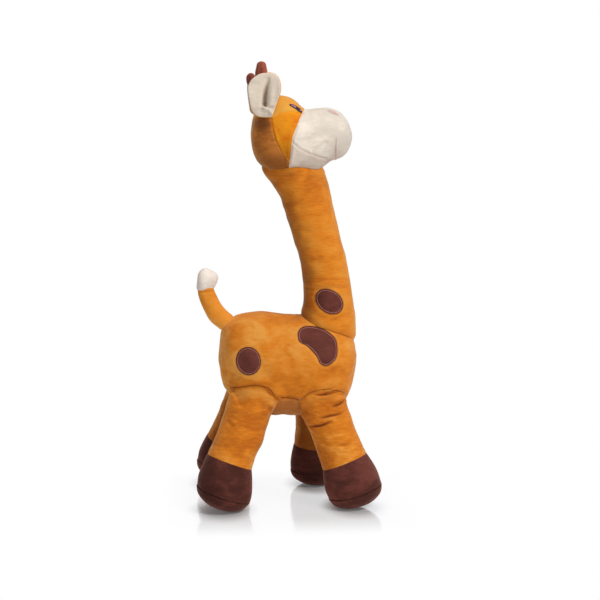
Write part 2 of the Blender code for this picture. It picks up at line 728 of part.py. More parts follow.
def main():
    torso = pivot("torso", (MID_X, 0.0, 0.0))
    neck = pivot("neck_seam", NECK_ROOT, torso)
    head = pivot("head_seam", HEAD_SEAT, neck)
    tail = pivot("tail_seam", TAIL_ROOT, torso)

    neck_socket = socket("neck", NECK_ROOT, NECK_ROOT_SIZE, NECK_RINGS[:3], NECK_BEND)
    head_socket = socket("head", HEAD_SEAT, HEAD_SEAT_SIZE, NECK_RINGS[:-4:-1], HEAD_NOD)
    tail_socket = socket("tail", TAIL_ROOT, TAIL_ROOT_SIZE, TAIL_RINGS[:2], TAIL_WAG,
                         wag_sweep)
    leg_sockets = {}
    for name, (hip, hoof_top, _) in LEGS.items():
        side = math.copysign(1.0, hoof_top[1])
        centre = (hip[0], side * HIP_Y, hip[1])
        path = leg_rings(hip, hoof_top)
        leg_sockets[name] = socket("hip_" + name, centre, HIP_SIZE, path, LEG_SWING)

    left_of, right_of = build_torso(neck_socket, tail_socket, leg_sockets, torso)
    neck_path = build_neck(neck)
    build_spots(torso, neck, neck_path, neck_socket)
    build_head(head, head_socket, left_of, right_of)
    build_face(head)
    build_horns(head)
    build_ears(head)
    floor = half_space("floor", (0.0, 0.0, -GAP / 2), (0.0, 0.0, -1.0))
    for name, (hip, hoof_top, sole) in LEGS.items():
        side = math.copysign(1.0, hoof_top[1])
        root = pivot("hip_seam_" + name, (hip[0], side * HIP_Y, hip[1]), torso)
        build_leg(name, root, hip, hoof_top, grounded(sole), floor)
    build_tail(tail)


main()
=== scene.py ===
"""Dresses the plush giraffe: soft stuffed forms with sewn seams, short-pile cloth, embroidery and a studio."""

import math

import bmesh
import bpy
from mathutils import Matrix, Vector, noise
from mathutils.bvhtree import BVHTree
from mathutils.kdtree import KDTree
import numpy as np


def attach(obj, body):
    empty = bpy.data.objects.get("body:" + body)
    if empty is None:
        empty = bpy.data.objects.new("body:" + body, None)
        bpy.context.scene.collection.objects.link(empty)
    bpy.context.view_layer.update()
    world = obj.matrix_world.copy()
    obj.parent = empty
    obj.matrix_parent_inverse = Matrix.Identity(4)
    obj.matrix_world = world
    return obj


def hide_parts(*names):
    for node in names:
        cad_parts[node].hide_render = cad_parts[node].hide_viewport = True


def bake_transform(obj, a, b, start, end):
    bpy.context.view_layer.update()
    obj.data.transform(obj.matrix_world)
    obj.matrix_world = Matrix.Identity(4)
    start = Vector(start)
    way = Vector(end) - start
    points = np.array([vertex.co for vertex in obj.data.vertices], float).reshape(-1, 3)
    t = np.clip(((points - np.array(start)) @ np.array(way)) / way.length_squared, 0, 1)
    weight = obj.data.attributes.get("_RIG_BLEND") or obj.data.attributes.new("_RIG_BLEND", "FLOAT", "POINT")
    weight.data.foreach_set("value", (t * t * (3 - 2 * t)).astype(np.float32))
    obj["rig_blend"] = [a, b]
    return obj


bl_info = {
    "name": "Plush giraffe",
    "version": (1, 0, 0),
    "blender": (4, 5, 0),
    "location": "3D View > Sidebar > Toy",
    "description": "Dresses a stuffed giraffe in short-pile cloth and sewn details",
    "category": "Object",
}

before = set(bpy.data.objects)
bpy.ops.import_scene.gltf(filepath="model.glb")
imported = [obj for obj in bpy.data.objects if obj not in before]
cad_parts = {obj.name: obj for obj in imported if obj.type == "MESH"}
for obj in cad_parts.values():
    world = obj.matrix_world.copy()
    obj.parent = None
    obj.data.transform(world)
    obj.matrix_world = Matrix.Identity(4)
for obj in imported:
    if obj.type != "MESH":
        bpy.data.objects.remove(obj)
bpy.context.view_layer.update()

MM = 0.001
MID_X = -12.336
LEGS = ("front_right", "front_left", "hind_right", "hind_left")
SIDES = (("right", -1.0), ("left", 1.0))
# How far from the toy's middle a look at its side starts
OUTSIDE = 120.0


def in_middle(*rows, lean=90.0):
    """Rings in the toy's middle plane, from rows of x, z, half length and half width."""
    return tuple((x, 0.0, z, lean, length, width) for x, z, length, width in rows)


# Rings of the stuffed forms: x, y, z, lean from straight up towards the nose, half length, half width
TORSO_RINGS = in_middle(
    (-73.6, 128.0, 0.8, 0.7), (-72.9, 128.0, 8.0, 7.0), (-70.5, 129.0, 23.0, 18.0), (-64.0, 129.0, 33.5, 27.5),
    (-53.0, 126.5, 41.5, 34.5), (-36.0, 123.3, 46.2, 39.0), (-14.0, 121.5, 45.8, 40.5), (8.0, 121.1, 45.4, 40.0),
    (25.0, 121.5, 44.0, 37.5), (37.0, 122.5, 37.0, 32.0), (44.4, 124.0, 27.5, 24.5), (48.4, 126.5, 15.5, 14.5),
    (49.8, 127.5, 6.0, 6.0), (50.2, 127.5, 0.7, 0.7),
)
HEAD_RINGS = in_middle(
    (-44.1, 328.0, 0.7, 0.7), (-43.6, 328.0, 5.0, 5.0), (-42.0, 328.0, 14.5, 13.5), (-37.5, 328.5, 24.0, 21.5),
    (-29.0, 327.2, 32.6, 28.5), (-17.0, 325.7, 36.6, 31.5), (-6.0, 323.7, 35.7, 31.0), (4.0, 320.0, 31.0, 28.5),
    (14.0, 321.7, 29.6, 26.8), (25.0, 327.5, 24.0, 23.0), (35.0, 327.2, 20.7, 19.6), (42.0, 325.7, 14.0, 13.8),
    (45.8, 325.2, 6.0, 6.0), (46.6, 325.2, 0.7, 0.7),
)
NECK_ROOT = (25.5, 0.0, 155.0)
NECK_ROOT_SIZE = (25.3, 24.0)
NECK_BEND_END = (25.2, 0.0, 190.0)
HEAD_SEAT = (-7.0, 0.0, 300.0)
HEAD_SEAT_SIZE = (27.5, 24.0)
NECK_RINGS = (
    (25.6, 0.0, 168.0, -4.0, 23.9, 23.0),
    (25.2, 0.0, 183.0, -7.0, 22.3, 22.0),
    (21.9, 0.0, 210.0, -11.0, 20.6, 20.8),
    (13.6, 0.0, 243.0, -15.5, 20.8, 21.0),
    (4.7, 0.0, 275.0, -16.0, 22.0, 21.8),
    (-2.2, 0.0, 291.0, -9.0, 24.4, 23.0),
)
HIP_SIZE = (20.5, 17.0)
HIP_Y = 23.5
THIGH_SIZE = (20.0, 17.8)
SHIN_SIZE = (19.4, 18.6)
HOOF_TOP_SIZE = (20.7, 19.5)
HOOF_FOOT_SIZE = (24.6, 23.0)
SOLE_DEPTH = 14.5
# The hip's x and z, the hoof's top with its lean, and the sole's x, y and lean
LEG_SHAPES = {
    "front_right": ((17.5, 92.0), (37.1, -39.0, 40.0, 159.0), (46.0, -43.5, 163.5)),
    "front_left": ((17.5, 92.0), (18.0, 37.0, 39.5, 180.0), (18.5, 40.5, 181.0)),
    "hind_right": ((-43.8, 93.5), (-65.2, -41.0, 42.0, 200.0), (-71.0, -46.5, 199.0)),
    "hind_left": ((-43.8, 93.5), (-64.6, 40.0, 41.0, 201.0), (-70.6, 46.5, 200.0)),
}
# Where a hind leg's cloth bulges or gives way: place, reach and move, each as x and z
HIND_NUDGES = (((-23.0, 98.0), 7.0, (4.0, 0.5)), ((-26.0, 82.0), 7.0, (-1.8, 0.0)), ((-38.0, 58.0), 9.0, (2.6, 0.0)))
TAIL_ROOT = (-63.0, 0.0, 157.0)
TAIL_ROOT_SIZE = (8.0, 8.0)
TAIL_RINGS = (
    (-72.3, 0.0, 165.6, -42.0, 8.5, 7.4),
    (-79.8, 0.0, 176.0, -26.0, 8.1, 7.0),
    (-83.6, 0.0, 186.0, -9.0, 7.3, 6.4),
    (-84.8, 0.0, 193.0, 0.0, 6.6, 6.0),
)
TIP_RINGS = in_middle(
    (-85.2, 189.4, 1.2, 1.1), (-85.2, 189.6, 5.6, 5.0), (-85.2, 191.0, 7.3, 6.4), (-84.3, 194.5, 8.3, 7.2),
    (-83.3, 198.5, 9.0, 7.5), (-82.6, 202.0, 9.3, 7.2), (-83.3, 205.4, 7.8, 6.2), (-84.2, 208.0, 4.6, 4.0),
    (-84.4, 209.4, 2.0, 2.0), (-84.4, 209.6, 0.5, 0.5), lean=0.0,
)
# Points round a form, distance between its rings, and points round its coarse copy
GIRTHS = {"torso": (176, 1.5, 64), "neck": (112, 1.4, 34), "head": (128, 1.3, 48), "tail": (48, 1.0, 0)}
LEG_GIRTH = (128, 1.0, 32)
# Uneven filling: depth, scale and seed
LUMPS = {
    "torso": ((1.1, 36.0, 3.0), (0.25, 110.0, 6.0)),
    "neck": ((0.9, 42.0, 8.0), (0.25, 130.0, 2.0)),
    "head": ((0.7, 45.0, 5.0),),
    "tail": ((0.8, 75.0, 31.0),),
}
HORN_SHAPES = {
    "right": ((-32.5, -11.5, 352.0), (-34.8, -12.5, 388.0), -4.0),
    "left": ((-30.5, 11.5, 352.0), (-43.2, 12.5, 378.0), -26.0),
}
HORN_SIZE = 4.9
EAR_ROOTS = {"right": (-32.4, 25.5), "left": (-30.5, 26.2)}
EAR_FOOT = 342.9
EAR_TOP = 382.3
EAR_FLARE = 7.0
EAR_CUP = 4.5
# Height, left edge and right edge of an ear, from its root
EAR_EDGES = (
    (342.9, 2.2, 2.6), (343.6, -3.6, 6.5), (345.8, -8.3, 7.3), (349.3, -11.0, 8.6), (355.2, -12.8, 10.8),
    (361.4, -14.0, 12.8), (367.7, -14.6, 14.0), (371.6, -14.1, 13.9), (374.7, -12.4, 13.2), (377.8, -9.3, 11.8),
    (380.5, -5.2, 9.6), (381.8, -0.6, 7.2), (382.3, 3.2, 3.6),
)
# Height, middle and depth of an ear's fold, from its root
EAR_FOLD = (
    (342.0, 0.6, 0.0), (352.2, 0.5, 0.0), (353.4, 0.5, 4.6), (357.1, 0.6, 5.6), (361.4, 0.9, 5.4), (366.5, 1.4, 4.2),
    (371.6, 2.1, 2.6), (376.3, 2.9, 1.0), (379.0, 3.2, 0.0), (383.0, 3.4, 0.0),
)
EAR_LIP = ((-0.6, 351.6), (1.9, 350.8), (4.2, 349.0), (6.4, 346.4))
# The layers of an ear: name, cloth, slot, how far its two edges are drawn in, how far out it lies, thickness
EAR_LAYERS = (
    ("ear_back_", "toy_tan", "tan_minky", (0.5, 0.0), 0.0, 1.5),
    ("ear_lining_", "toy_cream_ear", "cream_minky", (-0.3, 0.6), 1.7, 1.8),
)

# Seams and folds as lines seen from the side, x and z
FACE_SEAM = ((1.1, 347.2), (-2.6, 341.2), (-5.4, 334.3), (-8.3, 327.4), (-9.7, 319.6), (-10.4, 310.9), (-11.3, 303.1))
BACK_SEAM = ((-27.4, 343.0), (-25.4, 332.7), (-22.8, 324.0), (-19.3, 317.1), (-15.8, 311.1), (-12.6, 305.5))
# A crest just beside the back seam, towards the nose, which gets a painted highlight
BACK_CREST = tuple((x + 1.1, z) for x, z in BACK_SEAM[1:])
BROW_SEAM = ((-27.5, 342.0), (-19.0, 347.3), (-10.3, 349.2), (-1.5, 348.1), (1.1, 347.2))
JAW_SEAM = ((-8.3, 321.8), (-1.6, 316.1), (5.4, 312.6), (14.2, 309.5), (22.0, 307.3))
JAW_FOLD = ((9.9, 314.3), (16.0, 318.6), (20.4, 321.2))
TIP_SEAM = ((-90.6, 188.6), (-79.0, 189.3))
# Each fold of a near leg or the neck: its line, its depth and its width
LEG_FOLDS = {
    "front_right": (
        (((8.6, 100.2), (19.5, 100.8), (28.3, 102.2), (34.8, 103.4)), 2.6, 1.1),
        (((25.3, 90.0), (32.8, 92.0), (39.8, 95.4)), 2.3, 1.1),
        (((12.5, 79.8), (24.0, 82.7), (37.6, 84.7)), 2.3, 1.1),
        (((4.3, 71.0), (15.1, 74.0), (27.0, 79.0)), 2.3, 1.2),
        (((26.7, 57.5), (44.8, 58.6)), 1.0, 1.5),
        (((18.0, 66.0), (34.0, 69.0)), 0.6, 1.5),
        (((12.0, 90.5), (24.0, 94.0)), 0.6, 1.5),
    ),
    "hind_right": (
        (((-67.1, 77.6), (-59.4, 73.8)), 0.9, 1.6),
        (((-40.0, 92.0), (-30.0, 88.0), (-27.0, 83.0)), 0.9, 1.8),
        (((-33.0, 105.0), (-24.0, 98.5)), 1.2, 1.4),
    ),
}
NECK_FOLDS = (
    (((0.2, 192.0), (14.0, 191.6), (25.0, 193.6), (42.8, 192.5)), 1.1, 1.8),
    (((4.0, 219.0), (16.0, 216.5), (34.0, 217.5)), 0.35, 2.5),
    (((-4.0, 246.0), (10.0, 242.5), (30.0, 244.5)), 0.35, 2.5),
    (((-14.0, 268.0), (2.0, 265.0), (22.0, 267.5)), 0.35, 2.5),
)
RUMP_FOLD = ((-68.5, 108.5), (-64.0, 106.0), (-59.0, 105.6))
# Where the legs are sewn under the torso's side
ARCHES = {
    "hind": ((-66.0, 102.5), (-63.6, 104.7), (-57.6, 106.4), (-52.1, 108.1), (-46.6, 109.2), (-41.1, 109.8),
             (-35.5, 109.2), (-31.1, 107.6), (-27.8, 104.7), (-24.5, 101.2), (-21.2, 97.8)),
    "front": ((-2.4, 94.4), (-0.2, 97.1), (2.5, 100.2), (6.5, 102.8), (10.9, 104.1), (15.4, 104.7), (22.0, 104.6),
              (28.7, 103.9), (34.3, 102.9), (37.6, 101.0), (39.8, 99.2)),
}
BELLY_SEAM = ((-21.2, 97.8), (-13.5, 97.5), (-7.9, 97.0), (-4.2, 95.5), (-2.4, 94.4))
BELLY_TOP = 97.0
BELLY_MIDDLE = -12.0
BELLY_REACH = 22.0
NECK_SEAM = ((0.7, 168.4), (7.4, 165.0), (16.3, 159.7), (25.2, 154.7), (34.1, 151.2), (46.4, 147.7))

# The cloth's swelling: frames, distance between points, hold round a seam, distance at which a seam no longer
# calms the cloth, distance over which the swelling is evened out, and the most that a point moves
SWELL_FRAMES = 20
COPY_PACE = 4.0
SEAM_HOLD = 2.5
SEAM_CALM = 6.0
SWELL_EVEN = 13.0
MOST_SWELL = {"torso": 1.3, "neck": 0.45, "head": 0.5}
MOST_LEG_SWELL = 1.2
CLOTH_SETTINGS = {
    "quality": 6, "mass": 0.15, "tension_stiffness": 12.0, "compression_stiffness": 3.0, "shear_stiffness": 4.0,
    "bending_stiffness": 0.02, "use_pressure": True, "uniform_pressure_force": 4.0, "shrink_min": -0.05,
    "vertex_group_mass": "seam",
}
# Radius of the dark line at the seams, partly the join's own colour and partly painted shade
SEAM_LINE_RADIUS = 0.25
SPOT_INSET = 0.9

KIDNEY = (
    (-3.4, 153.9), (0.1, 157.9), (8.1, 159.0), (16.9, 157.3), (23.9, 153.8), (29.3, 148.0), (30.6, 140.1),
    (29.3, 133.0), (24.9, 128.5), (19.6, 126.8), (15.2, 129.6), (12.5, 135.0), (8.1, 140.4), (2.8, 144.9),
    (-2.5, 147.6),
)
KIDNEY_HEART = (17.0, 146.0)
# Centre, half sizes and turn of the round spots
NECK_SPOT = ((24.9, 181.2), (13.0, 9.6), -36.0)
RUMP_SPOT = ((-47.9, 131.0), (10.4, 11.9), 0.0)
EYE_PLACE = (-4.6, 19.5, 352.2)
EYE_SIZE = (5.9, 1.6)
IRIS_MIDDLE = (2.6, 0.0)
NOSTRIL_PLACE = (28.3, 11.0, 346.7)
NOSTRIL_SIZE = (5.2, 1.8)
MOUTH_PLACE = (30.2, 0.0, 328.0)
MOUTH_BOW = 1.8

# Place, size and power of each lamp
LAMPS = {
    "key": ((0.75, -0.8, 1.15), 0.55, 15.2),
    "top": ((0.0, 0.1, 1.4), 0.9, 6.0),
    "fill": ((-0.9, -1.1, 0.6), 0.9, 2.0),
    "back": ((-0.3, 1.1, 0.9), 0.8, 2.0),
}
CAMERA_TURN = -4.0
CAMERA_RISE = 7.7
CAMERA_AWAY = 1.35


def at(x, y, z):
    """A measured point in metres, with the toy's middle at x = 0."""
    return Vector(((x - MID_X) * MM, y * MM, z * MM))


def side_place(point):
    """Where a point is when the toy is seen from the side: the measured x and z."""
    return point.x / MM + MID_X, point.z / MM


def clamped(value):
    return min(1.0, max(0.0, value))


def bell(value):
    """1 in the middle, and next to nothing from 2 on."""
    return math.exp(-value ** 2)


def between(start, end, share):
    return tuple(a + (b - a) * share for a, b in zip(start, end))


def toned(colour, *shares):
    """A colour with each channel times its own share, or all times the same one."""
    return [part * share for part, share in zip(colour, shares * (3 // len(shares)))]


class Wire:
    """A shader socket that Python's operators work on."""

    def __init__(self, shade, socket):
        self.shade = shade
        self.socket = socket

    def maths(self, operation, first, second):
        return self.shade.node("ShaderNodeMath", {"operation": operation}, {0: first, 1: second})

    def __add__(self, other):
        return self.maths("ADD", self, other)

    def __sub__(self, other):
        return self.maths("SUBTRACT", self, other)

    def __rsub__(self, other):
        return self.maths("SUBTRACT", other, self)

    def __mul__(self, other):
        return self.maths("MULTIPLY", self, other)


class Shade:
    """A tree of shader nodes and short ways to add to it."""

    def __init__(self, tree, last):
        self.tree = tree
        self.last = tree.nodes[last]

    def fill(self, socket, value):
        if isinstance(value, Wire):
            self.tree.links.new(value.socket, socket)
        else:
            socket.default_value = value

    def node(self, kind, settings=None, values=None, output=0):
        made = self.tree.nodes.new(kind)
        for key, value in (settings or {}).items():
            setattr(made, key, value)
        for key, value in (values or {}).items():
            self.fill(made.inputs[key], value)
        return Wire(self, made.outputs[output])

    def feed(self, values):
        for key, value in values.items():
            self.fill(self.last.inputs[key], value)

    def ray(self, name):
        return self.node("ShaderNodeLightPath", output=name)

    def place(self, stretch=(1.0, 1.0, 1.0), turn=(0.0, 0.0, 0.0)):
        where = self.node("ShaderNodeTexCoord", output="Object")
        return self.node("ShaderNodeMapping", None, {"Vector": where, "Scale": stretch, "Rotation": turn})

    def speckle(self, where, scale, detail=2.0, rough=0.5, warp=0.0):
        return self.node(
            "ShaderNodeTexNoise", None,
            {"Vector": where, "Scale": scale, "Detail": detail, "Roughness": rough, "Distortion": warp},
        )

    def ease(self, value, low, high, start=0.0, end=1.0):
        return self.node(
            "ShaderNodeMapRange", {"interpolation_type": "SMOOTHSTEP"},
            {"Value": value, "From Min": low, "From Max": high, "To Min": start, "To Max": end},
        )

    def blend(self, share, first, second):
        return self.node("ShaderNodeMix", {"data_type": "RGBA"}, {0: share, 6: first, 7: second}, 2)

    def bump(self, height, strength, distance):
        return self.node("ShaderNodeBump", None, {"Height": height, "Strength": strength, "Distance": distance})


class Cloth(Shade):
    """A new material's nodes."""

    def __init__(self, name):
        self.material = bpy.data.materials.new(name)
        self.material.use_nodes = True
        super().__init__(self.material.node_tree, "Principled BSDF")


def minky(name, base, deep, lit, streak=(1.0, 1.0, 2.6), turn=(0.0, 0.0, 0.0), sheen=0.6, tint=(1.0, 0.75, 0.4),
          shade_tint=(0.36, 0.3, 0.5), brushing=0.12):
    """Short velvet pile: the nap lies this way and that in soft patches, with fine fibre between. A value painted on
    the verts blends in painted shade, a dark tint of the deep tone, and where it is below zero a painted highlight in
    the lit tone.
    """
    cloth = Cloth(name)
    plain = cloth.place()
    broad = cloth.speckle(plain, 15.0, 1.0, 0.4, 0.4)
    patches = cloth.speckle(cloth.place((1.0, 1.0, 1.0 + 4.0 * brushing), turn), 40.0, 2.0, 0.45, 0.8)
    strokes = cloth.speckle(cloth.place(streak, turn), 150.0, 2.0, 0.5, 0.2)
    fibre = cloth.speckle(plain, 1100.0, 2.0, 0.6)
    shade = broad * (0.64 - brushing) + patches * 0.36 + strokes * brushing + (fibre - 0.5) * 0.1
    painted_shading = cloth.node("ShaderNodeAttribute", {"attribute_name": "painted_shading"}, output=2)
    colour = (*deep, 1.0)
    for share, tone in (
        (cloth.ease(shade, 0.37, 0.53), base),
        (cloth.ease(shade, 0.49, 0.62), lit),
        # Painted shade and painted highlight, from the value painted on each vert
        (cloth.ease(painted_shading, 0.08, 1.0, 0.0, 0.85), toned(deep, *shade_tint)),
        (cloth.ease(painted_shading * -1.0, 0.1, 1.0, 0.0, 0.8), lit),
    ):
        colour = cloth.blend(share, colour, (*tone, 1.0))
    pile = fibre * 0.5 + strokes * 1.0 + patches * 0.6
    cloth.feed({
        "Base Color": colour, "Roughness": 0.92, "Specular IOR Level": 0.1, "Sheen Weight": sheen,
        "Sheen Roughness": 0.4, "Sheen Tint": (*tint, 1.0), "Normal": cloth.bump(pile, 0.5, 0.0009),
    })


def thread(name, base, rough=0.45):
    """Embroidery thread."""
    cloth = Cloth(name)
    strand = cloth.speckle(cloth.place(), 1500.0, 2.0, 0.5)
    tone = cloth.blend(cloth.ease(strand, 0.35, 0.6), (*toned(base, 0.55), 1.0), (*base, 1.0))
    cloth.feed({"Base Color": tone, "Roughness": rough, "Specular IOR Level": 0.2,
                "Normal": cloth.bump(strand, 0.4, 0.0003)})


def ring_matrix(ring):
    x, y, z, lean, half_length, half_width = ring
    turn = math.radians(lean)
    along = Vector((math.sin(turn), 0.0, math.cos(turn)))
    across = Vector((math.cos(turn), 0.0, -math.sin(turn)))
    basis = Matrix((across, Vector((0.0, 1.0, 0.0)), along)).transposed().to_4x4()
    size = Matrix.Diagonal((half_length * MM, half_width * MM, 1.0, 1.0))
    return Matrix.Translation(at(x, y, z)) @ basis @ size


def slid(ring, along, size):
    """A ring moved along its own axis and resized."""
    x, y, z, lean, length, width = ring
    turn = math.radians(lean)
    return (x + along * math.sin(turn), y, z + along * math.cos(turn), lean, length * size, width * size)


def dome(ring, rise, angles):
    """The rings of a dome that stands on a ring, at these angles of its curve."""
    turns = [math.radians(angle) for angle in angles]
    return [slid(ring, rise * math.sin(turn), math.cos(turn)) for turn in turns]


def ball_rings(centre, lean, size, angles):
    return dome((*centre, lean, *size), size[0], angles)


def smooth_point(before, start, end, after, t):
    """A point between start and end, on a smooth line through all four."""
    return tuple(
        0.5 * (2 * b + (c - a) * t + (2 * a - 5 * b + 4 * c - d) * t * t + (3 * b - a - 3 * c + d) * t ** 3)
        for a, b, c, d in zip(before, start, end, after)
    )


def eased_rings(rings, pace):
    """Rings in between, on a smooth line through the given ones, about a pace apart."""
    padded = [rings[0], *rings, rings[-1]]
    smooth = []
    for before, start, end, after in zip(padded, padded[1:], padded[2:], padded[3:]):
        reach = math.dist(start[:3], end[:3]) + abs(end[4] - start[4])
        count = max(2, round(reach / pace))
        smooth += [smooth_point(before, start, end, after, step / count) for step in range(count)]
    smooth.append(rings[-1])
    return [(*ring[:4], max(ring[4], 0.3), max(ring[5], 0.3)) for ring in smooth]


def drawn_on(bm, edges):
    """Draws a ring of edges on, and gives the new verts and the new ring of edges."""
    drawn = bmesh.ops.extrude_edge_only(bm, edges=edges)["geom"]
    verts = [item for item in drawn if isinstance(item, bmesh.types.BMVert)]
    fresh = set(verts)
    return verts, [item for item in drawn if isinstance(item, bmesh.types.BMEdge) and fresh.issuperset(item.verts)]


def capped(bm, *rings):
    """Closes the rings of edges and turns all faces outward."""
    caps = []
    for edges in rings:
        caps += bmesh.ops.edgeloop_fill(bm, edges=edges)["faces"]
    bmesh.ops.poke(bm, faces=caps)
    bmesh.ops.recalc_face_normals(bm, faces=bm.faces)


def stuffed(rings, sides, pace):
    """A closed form drawn out from ring to ring, as a bmesh."""
    rings = eased_rings(rings, pace)
    bm = bmesh.new()
    # A layer for the shade and highlight painted on the cloth
    bm.verts.layers.float.new("painted_shading")
    before = ring_matrix(rings[0])
    bmesh.ops.create_circle(bm, cap_ends=False, segments=sides, radius=1.0, matrix=before)
    first = last = list(bm.edges)
    for ring in rings[1:]:
        after = ring_matrix(ring)
        verts, last = drawn_on(bm, last)
        bmesh.ops.transform(bm, matrix=after @ before.inverted(), verts=verts)
        before = after
    capped(bm, first, last)
    return bm


def thickened(bm, thickness):
    """Gives a sheet its thickness and turns all faces outward."""
    bmesh.ops.solidify(bm, geom=bm.faces, thickness=thickness)
    bmesh.ops.recalc_face_normals(bm, faces=bm.faces)
    return bm


def disc(sides, loops, thickness, place):
    """A thin round sheet. Each point goes where place puts its number and its share of the way out."""
    bm = bmesh.new()
    bmesh.ops.create_circle(bm, cap_ends=False, segments=sides, radius=1.0)
    verts, ring = list(bm.verts), list(bm.edges)
    for loop in range(loops):
        if loop:
            verts, ring = drawn_on(bm, ring)
        for number, vert in enumerate(verts):
            vert.co = place(number, 1.0 - loop / loops)
    capped(bm, ring)
    return thickened(bm, thickness)


def relax(bm, turns):
    for _ in range(turns):
        bmesh.ops.smooth_vert(bm, verts=bm.verts, factor=0.5, use_axis_x=True, use_axis_y=True, use_axis_z=True)


def shift(bm, mover):
    """Moves each vert by what the mover gives for it, all worked out before the first one moves."""
    bm.normal_update()
    moves = [mover(vert) for vert in bm.verts]
    for vert, move in zip(bm.verts, moves):
        if move is not None:
            vert.co += move


def lumpy(bm, depth, scale, seed):
    """Filling that isn't quite even under the cloth."""
    start = Vector((seed, seed * 0.7, seed * 1.3))
    shift(bm, lambda vert: vert.normal * depth * MM * noise.noise(vert.co * scale + start))


def cloth_copy(name, bm, neighbours):
    """A coarse copy set up as cloth that is held at its seams, and how loose each of its points is."""
    mesh = bpy.data.meshes.new(name + "_cloth_copy")
    bm.to_mesh(mesh)
    obj = bpy.data.objects.new(name + "_cloth_copy", mesh)
    bpy.context.scene.collection.objects.link(obj)
    held = obj.vertex_groups.new(name="seam")
    trees = [BVHTree.FromBMesh(other) for other in neighbours]
    loose = []
    for vert in mesh.vertices:
        found = [tree.find_nearest(vert.co, SEAM_CALM * MM)[3] for tree in trees]
        away = min([item for item in found if item is not None], default=SEAM_CALM * MM)
        loose.append(away / (SEAM_CALM * MM))
        if away < SEAM_HOLD * MM:
            held.add([vert.index], 1.0, "REPLACE")
    cloth = obj.modifiers.new("cloth", "CLOTH")
    for key, value in CLOTH_SETTINGS.items():
        setattr(cloth.settings, key, value)
    cloth.settings.effector_weights.gravity = 0.0
    cloth.point_cache.frame_start = 1
    cloth.point_cache.frame_end = SWELL_FRAMES
    return obj, loose


def kept_moves(obj, loose, most, graph):
    """A tree of a copy's points, and for each the wrinkle that it got as cloth, evened out and capped."""
    ends = [vert.co.copy() for vert in obj.evaluated_get(graph).data.vertices]
    starts = [vert.co.copy() for vert in obj.data.vertices]
    moves = [end - start for start, end in zip(starts, ends)]
    tree = KDTree(len(starts))
    for index, start in enumerate(starts):
        tree.insert(start, index)
    tree.balance()
    kept = []
    for start, move, share in zip(starts, moves, loose):
        near = [moves[index] for _, index, _ in tree.find_range(start, SWELL_EVEN * MM)]
        move = (move - sum(near, Vector()) / len(near)) * share
        kept.append(move * min(1.0, most / max(move.length, 1e-9)))
    return tree, kept


def swollen(copies, seams):
    """Blows coarse copies of the forms up as cloth, held at their seams, and gives the wrinkles that come of it."""
    scene = bpy.context.scene
    made = {name: cloth_copy(name, bm, [copies[other] for other in seams[name]]) for name, bm in copies.items()}
    for number in range(1, SWELL_FRAMES + 1):
        scene.frame_set(number)
    graph = bpy.context.evaluated_depsgraph_get()
    found = {}
    for name, (obj, loose) in made.items():
        found[name] = kept_moves(obj, loose, MOST_SWELL.get(name, MOST_LEG_SWELL) * MM, graph)
        mesh = obj.data
        bpy.data.objects.remove(obj)
        bpy.data.meshes.remove(mesh)
    scene.frame_set(1)
    return found


def swell(bm, found):
    """Gives a fine form the moves that its coarse copy made as cloth."""
    tree, moves = found
    for vert in bm.verts:
        total, move = 0.0, Vector()
        for _, index, away in tree.find_n(vert.co, 7):
            share = bell(away / (COPY_PACE * MM)) + 1e-6
            total += share
            move += moves[index] * share
        vert.co += move / total


def line_place(x, z, line):
    """How far a place is from a line, and how far along the line, from 0 to 1, it is nearest."""
    best, where = 1e9, 0.0
    for number, ((ax, az), (bx, bz)) in enumerate(zip(line, line[1:])):
        dx, dz = bx - ax, bz - az
        t = clamped(((x - ax) * dx + (z - az) * dz) / (dx * dx + dz * dz))
        away = math.hypot(x - ax - t * dx, z - az - t * dz)
        if away < best:
            best, where = away, (number + t) / (len(line) - 1)
    return best, where


def line_height(line, x):
    """The second value of a line at its first, which rises along the line. Past its ends the line is level."""
    for (ax, az), (bx, bz) in zip(line, line[1:]):
        if x <= bx:
            return az + (bz - az) * (max(x, ax) - ax) / (bx - ax)
    return line[-1][1]


def seam_place(line, z):
    """Where along x a seam that runs down the side is at this height. Above its top it goes on, leaning forward."""
    rising = sorted((seam_z, seam_x) for seam_x, seam_z in line)
    return line_height(rising, z) + max(0.0, z - rising[-1][0]) * 0.6


def onto(tree, start, way):
    return tree.ray_cast(start, way)[:2]


def cast(tree, x, z, side):
    """The point of a form, and the normal there, that shows at a place seen from the side."""
    return onto(tree, at(x, side * OUTSIDE, z), Vector((0.0, -side, 0.0)))


def darken(bm, vert, value):
    """Marks how much painted shade a vert gets. A value below zero marks a painted highlight."""
    layer = bm.verts.layers.float["painted_shading"]
    if abs(value) > abs(vert[layer]):
        vert[layer] = value


def nudge(bm, place, reach, move):
    """Moves the cloth round a place, seen from the side, by a distance in x and z that fades out."""
    def mover(vert):
        x, z = side_place(vert.co)
        share = math.exp(-((x - place[0]) ** 2 + (z - place[1]) ** 2) / reach ** 2)
        return Vector((move[0], 0.0, move[1])) * share * MM

    shift(bm, mover)


